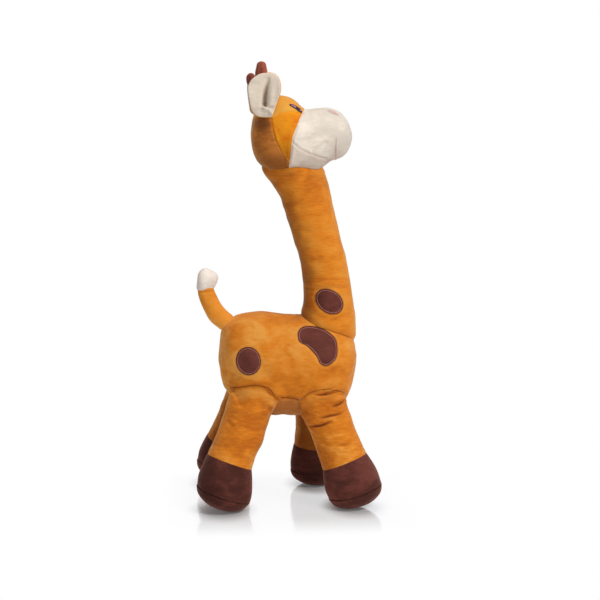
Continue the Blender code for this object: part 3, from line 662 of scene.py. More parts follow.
def seat_under(bm, torso, arch, side, hind, reach=8.0, slope=0.3):
    """Moves a leg's outer cloth in or out, so that it comes out of the torso's cloth along the arch."""
    tree = BVHTree.FromBMesh(torso)

    def mover(vert):
        facing = clamped((vert.normal.y * side - 0.1) * 3.0)
        x, z = side_place(vert.co)
        away, where = line_place(x, z, arch)
        if not facing or away > 2.5 * reach:
            return None
        facing *= min(1.0, 6.0 * (where if hind else 1.0 - where))
        hit, _ = cast(tree, x, z, side)
        if hit is None:
            return None
        inside = away if z < line_height(arch, x) else -away
        # Painted highlight on the leg, in a band a little under the arch
        darken(bm, vert, -(0.75 if hind else 0.42) * facing * bell((inside - 6.5) / 5.0))
        target = hit.y * side + max(-reach, min(reach, inside)) * slope * MM
        return Vector((0.0, side * (target - vert.co.y * side) * (bell(away / reach) * facing), 0.0))

    shift(bm, mover)


def hoof_seam(name):
    """Where a leg's hoof is sewn on, and the leg's direction there."""
    x, y, z, lean = LEG_SHAPES[name][1]
    turn = math.radians(lean)
    return at(x, y, z), Vector((math.sin(turn), 0.0, math.cos(turn)))


def calm_seam(bm, before, name):
    """Takes the cloth back towards its even form where leg and hoof are sewn together."""
    middle, along = hoof_seam(name)
    for vert, start in zip(bm.verts, before):
        vert.co = vert.co.lerp(start, bell((start - middle).dot(along) / (6.0 * MM)))


def level_seam(bm, name):
    """Lifts the outer side of a hoof's seam and drops its inner side."""
    middle, along = hoof_seam(name)
    for vert in bm.verts:
        spoke = vert.co - middle
        vert.co -= along * 0.15 * leg_side(name) * spoke.y * bell(spoke.dot(along) / (9.0 * MM))


def shade_inside(bm, side, value):
    """Paints shade on the side that faces the toy's other half, where the body keeps the lamps' light off."""
    bm.normal_update()
    for vert in bm.verts:
        darken(bm, vert, value * clamped(-vert.normal.y * side * 1.6))


def stepped(line, pace):
    """Places about a pace apart along a line, each with the direction across it."""
    places = []
    for (ax, az), (bx, bz) in zip(line, line[1:]):
        length = math.dist((ax, az), (bx, bz))
        count = max(1, round(length / pace))
        across = (-(bz - az) / length, (bx - ax) / length)
        places += [((ax + (bx - ax) * k / count, az + (bz - az) * k / count), across) for k in range(count)]
    return [*places, (line[-1], across)]


def sewn_line(first, second, line, side, reach=5.0, pace=1.0):
    """The points where two forms' cloths meet, looked for across a line seen from the side."""
    def heights(place, across, step):
        """A place moved across the line, and how far out each form's cloth stands there."""
        moved = (place[0] + across[0] * step, place[1] + across[1] * step)
        hits = [cast(tree, *moved, side)[0] for tree in (first, second)]
        return moved, [None if hit is None else hit.y * side for hit in hits]

    places = stepped(line, pace)
    steps = [step * 0.5 for step in range(int(-2 * reach), int(2 * reach) + 1)]
    shifts = []
    for place, across in places:
        best, before = None, None
        for step in steps:
            _, stands = heights(place, across, step)
            gap = None if None in stands else stands[0] - stands[1]
            if gap is not None and before is not None and (gap > 0.0) != (before > 0.0):
                found = step - 0.5 * gap / (gap - before)
                if best is None or abs(found) < abs(best):
                    best = found
            before = gap
        shifts.append(best)
    known = [item for item in shifts if item is not None] or [0.0]
    middle = sum(known) / len(known)
    shifts = [middle if item is None else item for item in shifts]
    for _ in range(8):
        ends = [shifts[0], *shifts, shifts[-1]]
        shifts = [(a + 2.0 * b + c) / 4.0 for a, b, c in zip(ends, ends[1:], ends[2:])]
    points = []
    for (place, across), step in zip(places, shifts):
        moved, stands = heights(place, across, step)
        stands = [item for item in stands if item is not None]
        if stands:
            points.append(Vector(((moved[0] - MID_X) * MM, side * max(stands), moved[1] * MM)))
    return points


def furrow(bm, line, depth, width, side, rise=0.4, dark=0.5, fading=False, sharp=0.6):
    """Presses a seam or fold, a line seen from the side, into the cloth, with a soft swell beside it, and paints
    shade along it; a dark value below zero paints a highlight instead.
    """
    def mover(vert):
        if vert.normal.y * side < 0.1:
            return None
        away, where = line_place(*side_place(vert.co), line)
        if away > 5.0 * width:
            return None
        press = -bell(away / width) + rise * bell((away - 2.2 * width) / width)
        share = min(1.0, abs(vert.normal.y) * 2.0)
        if fading:
            share *= math.sin(math.pi * where) ** 0.6
        darken(bm, vert, dark * share * bell(away / (sharp * width)))
        return vert.normal * press * depth * share * MM

    shift(bm, mover)


def press_round(bm, outline, side, depth=0.6, width=1.1):
    """Draws the cloth in round a sewn-on spot, and paints a highlight on the cloth just outside."""
    loop = outline + outline[:1]
    middle = [sum(part) / len(outline) for part in zip(*outline)]
    reach = max(math.dist(middle, point) for point in outline) + 4.0 * width

    def mover(vert):
        place = side_place(vert.co)
        if vert.normal.y * side < 0.1 or math.dist(middle, place) > reach:
            return None
        away, _ = line_place(*place, loop)
        darken(bm, vert, -0.7 * bell((away - 2.0 * width) / width))
        return -vert.normal * depth * MM * bell(away / width)

    shift(bm, mover)


def paint_front_light(bm, front, back):
    """Paints a highlight where the cloth faces the nose and shade where it faces the tail."""
    bm.normal_update()
    for vert in bm.verts:
        darken(bm, vert, -front * max(0.0, vert.normal.x) ** 2)
        darken(bm, vert, back * max(0.0, -vert.normal.x) ** 1.5)


def centre_seam(bm, depth, width):
    """The seam that runs round the toy's middle."""
    def mover(vert):
        away = abs(vert.co.y) / MM
        return -vert.normal * depth * MM * bell(away / width) if away < 4.0 * width else None

    shift(bm, mover)


def flare(bm, others, reach, rise):
    """Swells the cloth towards the forms that it is sewn to, so that both meet in a shallow valley."""
    trees = [BVHTree.FromBMesh(other) for other in others]

    def mover(vert):
        best = 0.0
        for tree in trees:
            hit, normal, _, away = tree.find_nearest(vert.co, reach * MM)
            if hit is not None:
                room = reach if (vert.co - hit).dot(normal) > 0.0 else reach * 0.4
                best = max(best, max(0.0, 1.0 - away / (room * MM)) ** 2)
        return vert.normal * rise * best * MM if best else None

    shift(bm, mover)


def tuck(bm, other, depth, width, dark=0.42):
    """Draws the cloth in where it is sewn to another form, and paints shade along the seam."""
    tree = BVHTree.FromBMesh(other)
    wide = width * MM

    def mover(vert):
        hit, _, _, away = tree.find_nearest(vert.co, 5.0 * width * MM)
        if hit is None:
            return None
        pucker = 1.0 + 0.25 * noise.noise(vert.co * 260.0)
        press = (bell(away / wide) - 0.25 * bell((away - 2.4 * width * MM) / wide)) * pucker
        press += 0.2 * noise.noise(vert.co * 190.0) * bell(away / (3.0 * width * MM))
        darken(bm, vert, dark * bell(away / (0.6 * width * MM)))
        return -vert.normal * depth * press * MM

    shift(bm, mover)


def piece(name, bm, cloths, body, replaced=()):
    """A finished piece with its cloths, on its body, in place of the solids that it replaces."""
    for face in bm.faces:
        face.smooth = True
    mesh = bpy.data.meshes.new(name)
    bm.to_mesh(mesh)
    obj = bpy.data.objects.new(name, mesh)
    bpy.context.scene.collection.objects.link(obj)
    for cloth in cloths.split():
        mesh.materials.append(materials()[cloth])
    if body:
        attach(obj, body)
    if replaced:
        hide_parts(*replaced)
    return obj


def padded_piece(name, bm, cloths, body, replaced, fine=True):
    """A piece as piece() makes it. A fine one has each of its faces cut in four."""
    obj = piece(name, bm, cloths, body, replaced)
    if fine:
        made = obj.modifiers.new("finer", "SUBSURF")
        made.levels = made.render_levels = 1
    return obj


def bend_with_neck(obj):
    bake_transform(obj, "torso", "neck", start=at(*NECK_ROOT), end=at(*NECK_BEND_END))


def even_line(points, count, closed=True):
    """Spreads points evenly along their own line."""
    chain = [Vector(point) for point in points]
    if closed:
        chain.append(chain[0])
    lengths = [(b - a).length for a, b in zip(chain, chain[1:])]
    total = sum(lengths)
    steps = count if closed else count - 1
    spread, index, walked = [], 0, 0.0
    for step in range(count):
        target = total * step / steps
        while index < len(lengths) - 1 and walked + lengths[index] < target:
            walked += lengths[index]
            index += 1
        t = (target - walked) / max(lengths[index], 1e-9)
        spread.append(chain[index].lerp(chain[index + 1], min(1.0, t)))
    return spread


def oval_outline(centre, size, turn_degrees, count):
    turn = math.radians(turn_degrees)
    points = []
    for step in range(count):
        angle = 2.0 * math.pi * step / count
        across, up = size[0] * math.cos(angle), size[1] * math.sin(angle)
        points.append((
            centre[0] + across * math.cos(turn) - up * math.sin(turn),
            centre[1] + across * math.sin(turn) + up * math.cos(turn),
        ))
    return points


def eased_outline(corners, count):
    """A closed smooth line through the corners, cut into even steps."""
    total = len(corners)
    fine = []
    for index in range(total):
        near = [corners[(index + k - 1) % total] for k in range(4)]
        fine += [smooth_point(*near, step / 12) for step in range(12)]
    return even_line(fine, count)


def cast_outline(tree, outline, side, raise_by):
    """The outline's points on the cloth, looked at from the side."""
    points = []
    for x, z in outline:
        hit, normal = cast(tree, x, z, side)
        if hit is None:
            raise RuntimeError(f"the outline misses the cloth at {x:.1f}, {z:.1f}")
        points.append(hit + normal * raise_by * MM)
    return points


def patch_form(tree, outline, heart, side, rise):
    """A sewn-on spot: follows the cloth under it and bulges a little in its middle."""
    def place(number, share):
        x, z = between(heart, outline[number], share)
        hit, normal = cast(tree, x, z, side)
        return hit + normal * (rise * (1.0 - share ** 4) + 0.15) * MM

    return disc(len(outline), 10, 0.0006, place)


def stitched(points, radius, closed=True, ribs=True, ends=0.4):
    """A line of satin stitch: a round band with a rib for each thread."""
    curve = bpy.data.curves.new("band", "CURVE")
    curve.dimensions = "3D"
    curve.bevel_depth = radius * MM
    curve.bevel_resolution = 2
    curve.use_fill_caps = not closed
    spline = curve.splines.new("POLY")
    spline.points.add(len(points) - 1)
    for index, point in enumerate(points):
        spline.points[index].co = (*point, 1.0)
        share = 1.0 if index % 2 == 0 or not ribs else 0.84
        if not closed:
            reach = min(index, len(points) - 1 - index) / max(1, len(points) // 6)
            share *= ends + (1.0 - ends) * min(1.0, reach)
        spline.points[index].radius = share
    spline.use_cyclic_u = closed
    guide = bpy.data.objects.new("band_guide", curve)
    bpy.context.scene.collection.objects.link(guide)
    mesh = bpy.data.meshes.new_from_object(guide.evaluated_get(bpy.context.evaluated_depsgraph_get()))
    bpy.data.objects.remove(guide)
    bm = bmesh.new()
    bm.from_mesh(mesh)
    bmesh.ops.remove_doubles(bm, verts=bm.verts, dist=1e-6)
    bmesh.ops.recalc_face_normals(bm, faces=bm.faces)
    return bm


FORMS = {}


def leg_side(name):
    return -1.0 if name.endswith("right") else 1.0


def leg_path(name):
    """A leg's rings, from the ball in its hip down to its hoof."""
    hip, hoof_top, _ = LEG_SHAPES[name]
    centre = (hip[0], leg_side(name) * HIP_Y, hip[1])
    rings = ball_rings(centre, hoof_top[3], HIP_SIZE, (-82.0, -60.0, -32.0, 0.0))
    for share, size in ((0.33, THIGH_SIZE), (0.68, SHIN_SIZE), (1.0, HOOF_TOP_SIZE)):
        rings.append((*between((*centre, hoof_top[3]), hoof_top, share), *size))
    return rings


def sole_rings(sole, angles=(0.0, 28.0, 52.0, 74.0)):
    return dome((*sole, *HOOF_FOOT_SIZE), SOLE_DEPTH, angles)


def grounded(name):
    """A sole's middle and lean, at the height that lets its lowest point sink half a millimetre into the floor."""
    x, y, lean = LEG_SHAPES[name][2]
    slope = abs(math.sin(math.radians(lean)))
    lows = [ring[2] - ring[4] * slope for ring in sole_rings((x, y, 0.0, lean))]
    return x, y, -0.5 - min(lows), lean


def form_rings():
    """The rings of every form that has its own filling."""
    neck = ball_rings(NECK_ROOT, -3.0, NECK_ROOT_SIZE, (-86.0, -62.0, -32.0, 0.0))
    neck += [*NECK_RINGS, *ball_rings(HEAD_SEAT, 0.0, HEAD_SEAT_SIZE, (0.0, 32.0, 62.0, 86.0))]
    tail = ball_rings(TAIL_ROOT, -50.0, TAIL_ROOT_SIZE, (-84.0, -60.0, -30.0, 0.0))
    tail += [*TAIL_RINGS, slid(TAIL_RINGS[-1], 0.6, 0.9), slid(TAIL_RINGS[-1], 0.9, 0.4)]
    rings = {"torso": TORSO_RINGS, "neck": neck, "head": HEAD_RINGS, "tail": tail}
    for name in LEGS:
        path = leg_path(name)
        rings["leg_" + name] = path + [slid(path[-1], 0.9, 0.93), slid(path[-1], 1.6, 0.6)]
    return rings


def build_leg(name, index, leg, plain, torso):
    """Lumps and seats a leg, and makes the hoof and the sole under it."""
    lumpy(leg, 0.9, 48.0, 11.0 + index)
    lumpy(leg, 0.3, 130.0, 4.0 + index)
    calm_seam(leg, plain, name)
    hind = name.startswith("hind")
    if hind:
        for place, reach, move in HIND_NUDGES:
            nudge(leg, place, reach, move)
    seat_under(leg, torso, ARCHES[name.split("_")[0]], leg_side(name), hind)
    level_seam(leg, name)
    sole = grounded(name)
    top, foot = (*LEG_SHAPES[name][1], *HOOF_TOP_SIZE), (*sole, *HOOF_FOOT_SIZE)
    middle = between(top[:4], foot[:4], 0.6) + HOOF_FOOT_SIZE
    hoof = stuffed([slid(top, -0.2, 0.5), slid(top, -0.5, 0.93), slid(top, 0.9, 1.02), middle,
                    slid(foot, -1.6, 1.0), slid(foot, -0.3, 0.955), slid(foot, -0.1, 0.5)], 96, 1.2)
    plain = [vert.co.copy() for vert in hoof.verts]
    lumpy(hoof, 0.7, 55.0, 21.0 + index)
    calm_seam(hoof, plain, name)
    level_seam(hoof, name)
    FORMS["hoof_" + name] = hoof
    domed = [slid(foot, 0.1, 0.5), slid(foot, 0.2, 0.955), *sole_rings(sole, (5.0, 28.0, 52.0, 74.0, 88.0))]
    FORMS["sole_" + name] = stuffed(domed, 96, 1.2)


def build_forms():
    """Every stuffed form's shape, made once so that neighbours can be drawn in to each other."""
    rings = form_rings()
    girths = {name: GIRTHS.get(name, LEG_GIRTH) for name in rings}
    raw = {name: stuffed(path, *girths[name][:2]) for name, path in rings.items()}
    plain = {name: [vert.co.copy() for vert in raw["leg_" + name].verts] for name in LEGS}
    legs = ["leg_" + name for name in LEGS]
    seams = {"torso": [*legs, "neck"], "neck": ["torso", "head"], "head": ["neck"]}
    seams.update(dict.fromkeys(legs, ["torso"]))
    copies = {name: stuffed(rings[name], girths[name][2], COPY_PACE) for name in seams}
    for name, found in swollen(copies, seams).items():
        swell(raw[name], found)
    relax(raw["torso"], 4)
    relax(raw["head"], 6)
    for name, lumps in LUMPS.items():
        for depth, scale, seed in lumps:
            lumpy(raw[name], depth, scale, seed)
    for index, name in enumerate(LEGS):
        build_leg(name, index, raw["leg_" + name], plain[name], raw["torso"])
    joined = {"torso": (legs, 9.0, 2.4), "neck": (["torso"], 10.0, 1.2), "head": (["neck"], 4.0, 0.6),
              "tail": (["torso"], 3.0, 0.5), **dict.fromkeys(legs, (["torso"], 9.0, 2.2))}
    for name, (others, reach, rise) in joined.items():
        FORMS[name] = raw[name].copy()
        flare(FORMS[name], [raw[other] for other in others], reach, rise)
    flare(FORMS["torso"], [raw["neck"]], 9.0, 1.3)


def colour_setting(name, what, default):
    return bpy.props.FloatVectorProperty(name=name, description=what, subtype="COLOR", size=3, default=default,
                                         min=0.0, max=1.0)


def length_setting(name, what, default):
    return bpy.props.FloatProperty(name=name, description=what, default=default * MM, unit="LENGTH")


class ToyCloth(bpy.types.PropertyGroup):
    tan: colour_setting("Tan", "Main cloth of the body", (0.66, 0.2, 0.014))
    # The deep tone, tinted darker, is also the colour of painted shade, and the lit tone that of painted highlights
    tan_deep: colour_setting("Tan, nap away", "Main cloth where the pile leans away", (0.47, 0.122, 0.009))
    tan_lit: colour_setting("Tan, nap lit", "Main cloth where the pile catches the light", (0.74, 0.315, 0.055))
    cream: colour_setting("Cream", "Muzzle, ear lining and tail tip", (0.65, 0.575, 0.488))
    brown: colour_setting("Brown", "Hooves and spots", (0.072, 0.0205, 0.015))
    horn: colour_setting("Horn", "Cloth of the horns", (0.22, 0.06, 0.035))
    mauve: colour_setting("Mauve thread", "Borders of the spots", (0.44, 0.16, 0.13))
    pink: colour_setting("Pink thread", "Mouth, nostrils and eye filling", (0.76, 0.43, 0.45))
    rose: colour_setting("Rose thread", "Filling of the eyes", (0.5, 0.2, 0.27))
    purple: colour_setting("Purple thread", "Outline of the eyes", (0.05, 0.016, 0.065))


class ToySewing(bpy.types.PropertyGroup):
    seam_depth: length_setting("Seam depth", "How far the cloth is drawn in at a seam", 1.2)
    seam_width: length_setting("Seam width", "How wide the draw of a seam is", 1.4)
    border: length_setting("Border", "Half the width of the stitching round a spot", 0.5)
    spot_rise: length_setting("Spot rise", "How far a spot stands off the cloth", 0.7)


def materials():
    """The materials, made once from the colours in the panel."""
    if "toy_tan" in bpy.data.materials:
        return bpy.data.materials
    tones = bpy.context.scene.toy_cloth
    tan, deep, lit = tones.tan, tones.tan_deep, tones.tan_lit
    minky("toy_tan", tan, deep, lit)
    minky("toy_tan_leg", tan, deep, lit, (1.0, 1.0, 3.5), brushing=0.24)
    minky("toy_tan_neck", tan, deep, toned(tan, 1.05, 1.3, 2.2), (1.0, 1.0, 5.0), (0.0, math.radians(-12.0), 0.0),
          brushing=0.2)
    warm = toned(tan, 0.98, 0.7, 0.2)
    minky("toy_tan_cheek", warm, toned(warm, 0.78), toned(tan, 1.1, 1.3, 0.8), sheen=0.2)
    # The forehead's lighter tan is partly painted highlight, where it faces the lamps above
    minky("toy_tan_brow", toned(tan, 0.97, 1.36, 2.2), warm, toned(tan, 1.05, 1.75, 4.0))
    # The back of the head's darker tan is partly painted shade, on the side turned from the lamps
    minky("toy_tan_back", toned(tan, 0.62, 0.64, 1.4), toned(tan, 0.43, 0.42, 0.95), toned(tan, 0.88, 1.0, 2.6),
          brushing=0.2)
    minky("toy_tan_tail", toned(tan, 1.2, 1.42, 2.4), tan, toned(tan, 1.25, 1.8, 4.0))
    belly = toned(tan, 0.88, 1.0, 2.9)
    minky("toy_tan_belly", belly, toned(belly, 0.8), tan)
    # The chin's darker cream is painted shade under the muzzle
    for name, share in (("toy_cream", (1.0, 1.0, 1.0)), ("toy_cream_chin", (0.86, 0.82, 0.8)),
                        ("toy_cream_ear", (0.91, 0.88, 0.84)), ("toy_cream_tip", (1.24, 1.24, 1.28))):
        cream = toned(tones.cream, *share)
        minky(name, cream, toned(cream, 0.9), toned(cream, 1.2), sheen=0.15, tint=(1.0, 0.95, 0.9),
              shade_tint=(0.62, 0.45, 0.33))
    brown, horn = tones.brown, tones.horn
    spot = toned(brown, 1.55)
    minky("toy_spot", spot, toned(spot, 0.7), toned(spot, 1.4), sheen=0.12, tint=(0.9, 0.5, 0.42))
    minky("toy_brown", brown, toned(brown, 0.6), toned(brown, 1.9), sheen=0.42, tint=(0.95, 0.45, 0.35))
    minky("toy_horn", horn, toned(horn, 0.5), toned(horn, 1.6), sheen=0.15, tint=(1.0, 0.6, 0.5))
    for name, tone in (("mauve", tones.mauve), ("pink", tones.pink), ("white", tones.cream),
                       ("purple", tones.purple), ("rose", tones.rose), ("spot", spot)):
        thread(f"toy_{name}_thread", tone)
    # A dark tan for the lines at the seams: partly the seam's own dark join, partly painted shade in its gap
    thread("toy_seam_join_and_shade", toned(tan, 0.24, 0.19, 0.4), 0.9)
    return bpy.data.materials


def seam_size(context):
    sewing = context.scene.toy_sewing
    return sewing.seam_depth / MM, sewing.seam_width / MM


class TOY_OT_torso(bpy.types.Operator):
    """Build the barrel-shaped torso with its belly seam"""
    bl_idname = "toy.torso"
    bl_label = "Torso"

    def execute(self, context):
        if not FORMS:
            build_forms()
        depth, width = seam_size(context)
        bm = FORMS["torso"].copy()
        for name in LEGS:
            tuck(bm, FORMS["leg_" + name], depth, width)
        tuck(bm, FORMS["neck"], depth * 0.6, width)
        tuck(bm, FORMS["tail"], 0.8, 1.2)
        for _, side in SIDES:
            furrow(bm, BELLY_SEAM, depth, width * 0.8, side)
            furrow(bm, RUMP_FOLD, 1.0, 1.6, side, 0.4, 0.4, True)
            press_round(bm, eased_outline(KIDNEY, 64), side)
            press_round(bm, oval_outline(*RUMP_SPOT, 48), side)
        centre_seam(bm, 0.6, 1.2)
        for face in bm.faces:
            x, z = side_place(face.calc_center_median())
            face.material_index = int(z < BELLY_TOP and abs(x - BELLY_MIDDLE) < BELLY_REACH)
        padded_piece("torso_cloth", bm, "toy_tan toy_tan_belly", "torso",
                     ("torso_stuffing", "flank_panel_left", "flank_panel_right", "belly_panel"))
        return {"FINISHED"}


class TOY_OT_neck(bpy.types.Operator):
    """Build the long neck, which bends where it is sewn to the torso"""
    bl_idname = "toy.neck"
    bl_label = "Neck"

    def execute(self, context):
        bm = FORMS["neck"].copy()
        tuck(bm, FORMS["torso"], 0.7, 1.5)
        tuck(bm, FORMS["head"], 0.9, 1.6)
        for line, depth, width in NECK_FOLDS:
            for _, side in SIDES:
                furrow(bm, line, depth, width, side, 0.4, depth / 3.0)
        for _, side in SIDES:
            press_round(bm, oval_outline(*NECK_SPOT, 48), side)
        # Painted highlight on the neck's front and painted shade on its back
        paint_front_light(bm, 0.7, 0.8)
        for vert in bm.verts:
            # Under the head the neck gets painted shade at its back and a painted highlight at its front
            x, z = side_place(vert.co)
            top = clamped((z - 280.0) / 14.0)
            darken(bm, vert, 0.45 * top * clamped((4.0 - x) / 12.0))
            darken(bm, vert, -0.55 * top * clamped((x - 4.0) / 6.0))
        obj = padded_piece("neck_cloth", bm, "toy_tan_neck", None, ("neck_cover", "neck_stuffing"))
        bend_with_neck(obj)
        return {"FINISHED"}


def cut_along(bm, line):
    """Cuts the faces along a seam: the form is sheared so that the seam is flat, cut and sheared back."""
    for vert in bm.verts:
        vert.co.x -= (seam_place(line, vert.co.z / MM) - MID_X) * MM
    bmesh.ops.bisect_plane(
        bm, geom=bm.verts[:] + bm.edges[:] + bm.faces[:], dist=1e-7, plane_co=(0.0, 0.0, 0.0),
        plane_no=(1.0, 0.0, 0.0),
    )
    for vert in bm.verts:
        vert.co.x += (seam_place(line, vert.co.z / MM) - MID_X) * MM


def shade_head(bm):
    """Paints light and shade on the head: a highlight at the cheeks' top and shade below, and shade on the back of
    the head low down and under the ears.
    """
    for vert in bm.verts:
        x, z = side_place(vert.co)
        if x > seam_place(FACE_SEAM, z):
            continue
        if x > seam_place(BACK_SEAM, z):
            darken(bm, vert, 0.7 * clamped((336.0 - z) / 26.0))
            darken(bm, vert, -0.6 * clamped((z - 337.0) / 7.0))
        else:
            darken(bm, vert, 0.65 * clamped((321.0 - z) / 15.0))
            darken(bm, vert, 0.8 * bell(math.dist((x, z), (-34.0, 338.0)) / 10.0))


def head_panel(x, z):
    """The number of the head's panel at a place: back, cheek, forehead, muzzle or chin."""
    if x > seam_place(FACE_SEAM, z):
        return 4 if x <= JAW_SEAM[-1][0] + 4.0 and z < line_height(JAW_SEAM, x) else 3
    if x < seam_place(BACK_SEAM, z) and z < FACE_SEAM[0][1] - 4.0:
        return 0
    return 2 if z > line_height(BROW_SEAM, x) else 1


class TOY_OT_head(bpy.types.Operator):
    """Build the head from its back, cheek, forehead, muzzle and chin panels"""
    bl_idname = "toy.head"
    bl_label = "Head"

    def execute(self, context):
        depth, width = seam_size(context)
        bm = FORMS["head"].copy()
        bmesh.ops.subdivide_edges(bm, edges=bm.edges[:], cuts=1, use_grid_fill=True, smooth=0.3)
        cut_along(bm, FACE_SEAM)
        cut_along(bm, BACK_SEAM)
        for _, side in SIDES:
            furrow(bm, FACE_SEAM, depth * 0.8, width * 0.7, side, 0.4, 0.18)
            furrow(bm, BACK_SEAM, depth * 0.5, width * 0.6, side, 0.3, 0.2)
            # The crest beside the back seam stands up and gets a painted highlight
            furrow(bm, BACK_CREST, -0.5, width * 0.6, side, 0.0, -0.9)
            furrow(bm, BROW_SEAM, depth * 0.6, width * 0.8, side, 0.3, 0.35)
            furrow(bm, JAW_SEAM, depth * 0.7, width * 0.7, side, 0.15, 0.5)
            furrow(bm, JAW_FOLD, 0.7, 1.6, side, 0.2, 0.15)
        tuck(bm, FORMS["neck"], 0.9, 1.5)
        shade_head(bm)
        for face in bm.faces:
            face.material_index = head_panel(*side_place(face.calc_center_median()))
        padded_piece("head_cloth", bm, "toy_tan_back toy_tan_cheek toy_tan_brow toy_cream toy_cream_chin", "head",
                     ("head_stuffing", "head_back_panel", "cheek_panel_left", "cheek_panel_right",
                                   "forehead_panel", "muzzle_panel", "chin_panel"), fine=False)
        FORMS["head_shown"] = bm
        return {"FINISHED"}


class TOY_OT_legs(bpy.types.Operator):
    """Build the four legs, each bending at its hip seam"""
    bl_idname = "toy.legs"
    bl_label = "Legs"

    def execute(self, context):
        for name in LEGS:
            bm = FORMS["leg_" + name].copy()
            tuck(bm, FORMS["torso"], 1.1, 1.5)
            for line, depth, width in LEG_FOLDS.get(name, ()):
                furrow(bm, line, depth, width, leg_side(name), 0.55, depth / 2.0, True, 0.85)
            # Painted shade on the leg's inner side
            shade_inside(bm, leg_side(name), 0.78)
            obj = padded_piece("leg_cloth_" + name, bm, "toy_tan_leg", None,
                               ("leg_cover_" + name, "leg_stuffing_" + name))
            rings = leg_path(name)
            hip, thigh = rings[3], rings[5]
            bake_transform(obj, "torso", "leg_" + name, start=at(*hip[:3]), end=at(*thigh[:3]))
        return {"FINISHED"}


class TOY_OT_seams(bpy.types.Operator):
    """Sew a dark line where the legs, the belly and the neck join the torso, partly the seam's own dark join and
    partly painted shade in its gap
    """
    bl_idname = "toy.seams"
    bl_label = "Seams"

    def execute(self, context):
        graph = context.evaluated_depsgraph_get()
        torso = BVHTree.FromObject(bpy.data.objects["torso_cloth"], graph)
        for side_name, side in SIDES:
            for name, line, other in (
                ("neck", NECK_SEAM, "neck_cloth"), ("belly", BELLY_SEAM, "torso_cloth"),
                *((end, arch, f"leg_cloth_{end}_{side_name}") for end, arch in ARCHES.items()),
            ):
                points = sewn_line(torso, BVHTree.FromObject(bpy.data.objects[other], graph), line, side)
                bm = stitched(even_line(points, 4 * len(points), False), SEAM_LINE_RADIUS, False, False, 0.2)
                piece(f"seam_{name}_{side_name}", bm, "toy_seam_join_and_shade", "torso")
                graph = context.evaluated_depsgraph_get()
        return {"FINISHED"}


class TOY_OT_hooves(bpy.types.Operator):
    """Build the dark hooves and their domed soles"""
    bl_idname = "toy.hooves"
    bl_label = "Hooves"

    def execute(self, context):
        for index, name in enumerate(LEGS):
            for part in ("hoof_", "sole_"):
                bm = FORMS[part + name].copy()
                if part == "sole_":
                    lumpy(bm, 0.7, 55.0, 21.0 + index)
                for vert in bm.verts:
                    vert.co.z = max(vert.co.z, 0.0)
                padded_piece(part + "cloth_" + name, bm, "toy_brown", "leg_" + name, (part + name,))
        return {"FINISHED"}


class TOY_OT_tail(bpy.types.Operator):
    """Build the curved tail and its cream tip"""
    bl_idname = "toy.tail"
    bl_label = "Tail"

    def execute(self, context):
        bm = FORMS["tail"].copy()
        tuck(bm, FORMS["torso"], 0.7, 1.0)
        for _, side in SIDES:
            furrow(bm, TIP_SEAM, 0.9, 1.1, side)
        obj = padded_piece("tail_cloth", bm, "toy_tan_tail", None, ("tail_cover", "tail_stuffing"))
        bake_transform(obj, "torso", "tail", start=at(*TAIL_ROOT), end=at(*TAIL_RINGS[0][:3]))
        bm = stuffed(TIP_RINGS, 40, 1.2)
        relax(bm, 1)
        lumpy(bm, 0.9, 85.0, 7.0)
        padded_piece("tail_tip_cloth", bm, "toy_cream_tip", "tail", ("tail_tip",))
        return {"FINISHED"}


class TOY_OT_horns(bpy.types.Operator):
    """Build the two stub horns"""
    bl_idname = "toy.horns"
    bl_label = "Horns"

    def execute(self, context):
        for name, side in SIDES:
            foot, top, lean = HORN_SHAPES[name]
            rings = [(*place, lean, HORN_SIZE * size, HORN_SIZE * size)
                     for place, size in ((foot, 0.5), (foot, 1.35), (between(foot, top, 0.78), 1.12))]
            rings += ball_rings(top, lean, (HORN_SIZE * 0.88, HORN_SIZE * 0.84), (0.0, 25.0, 45.0, 62.0, 76.0, 87.0))
            bm = stuffed(rings, 48, 0.8)
            relax(bm, 3)
            lumpy(bm, 0.9, 150.0, 17.0 * side)
            way = (at(*top) - at(*foot)).normalized()
            for vert in bm.verts:
                # Two long dents, where the horn's cloth is sewn
                spoke = vert.co - at(*foot)
                spoke -= way * spoke.dot(way)
                angle = math.atan2(spoke.y, spoke.x)
                vert.co -= spoke * 0.16 * (bell((angle + 1.9) / 0.28) + bell((angle - 1.2) / 0.28))
            # Painted shade on the horn's inner side
            shade_inside(bm, side, 0.6)
            padded_piece("horn_cloth_" + name, bm, "toy_horn", "head", ("horn_" + name,))
        return {"FINISHED"}


def along_table(table, place):
    """Reads a table whose first column is the place, on a smooth line through its rows."""
    index = 0
    while index < len(table) - 2 and place > table[index + 1][0]:
        index += 1
    rows = [table[max(0, min(len(table) - 1, index + step))] for step in (-1, 0, 1, 2)]
    span = rows[2][0] - rows[1][0]
    t = clamped((place - rows[1][0]) / span)
    found = []
    for column in range(1, len(table[0])):
        slopes = [(after[column] - before[column]) / (after[0] - before[0]) * span
                  for before, after in ((rows[0], rows[2]), (rows[1], rows[3]))]
        start, end = rows[1][column], rows[2][column]
        rest = slopes[0] * (t ** 3 - 2 * t * t + t) + slopes[1] * (t ** 3 - t * t)
        found.append(start * (2 * t ** 3 - 3 * t * t + 1) + end * (3 * t * t - 2 * t ** 3) + rest)
    return found


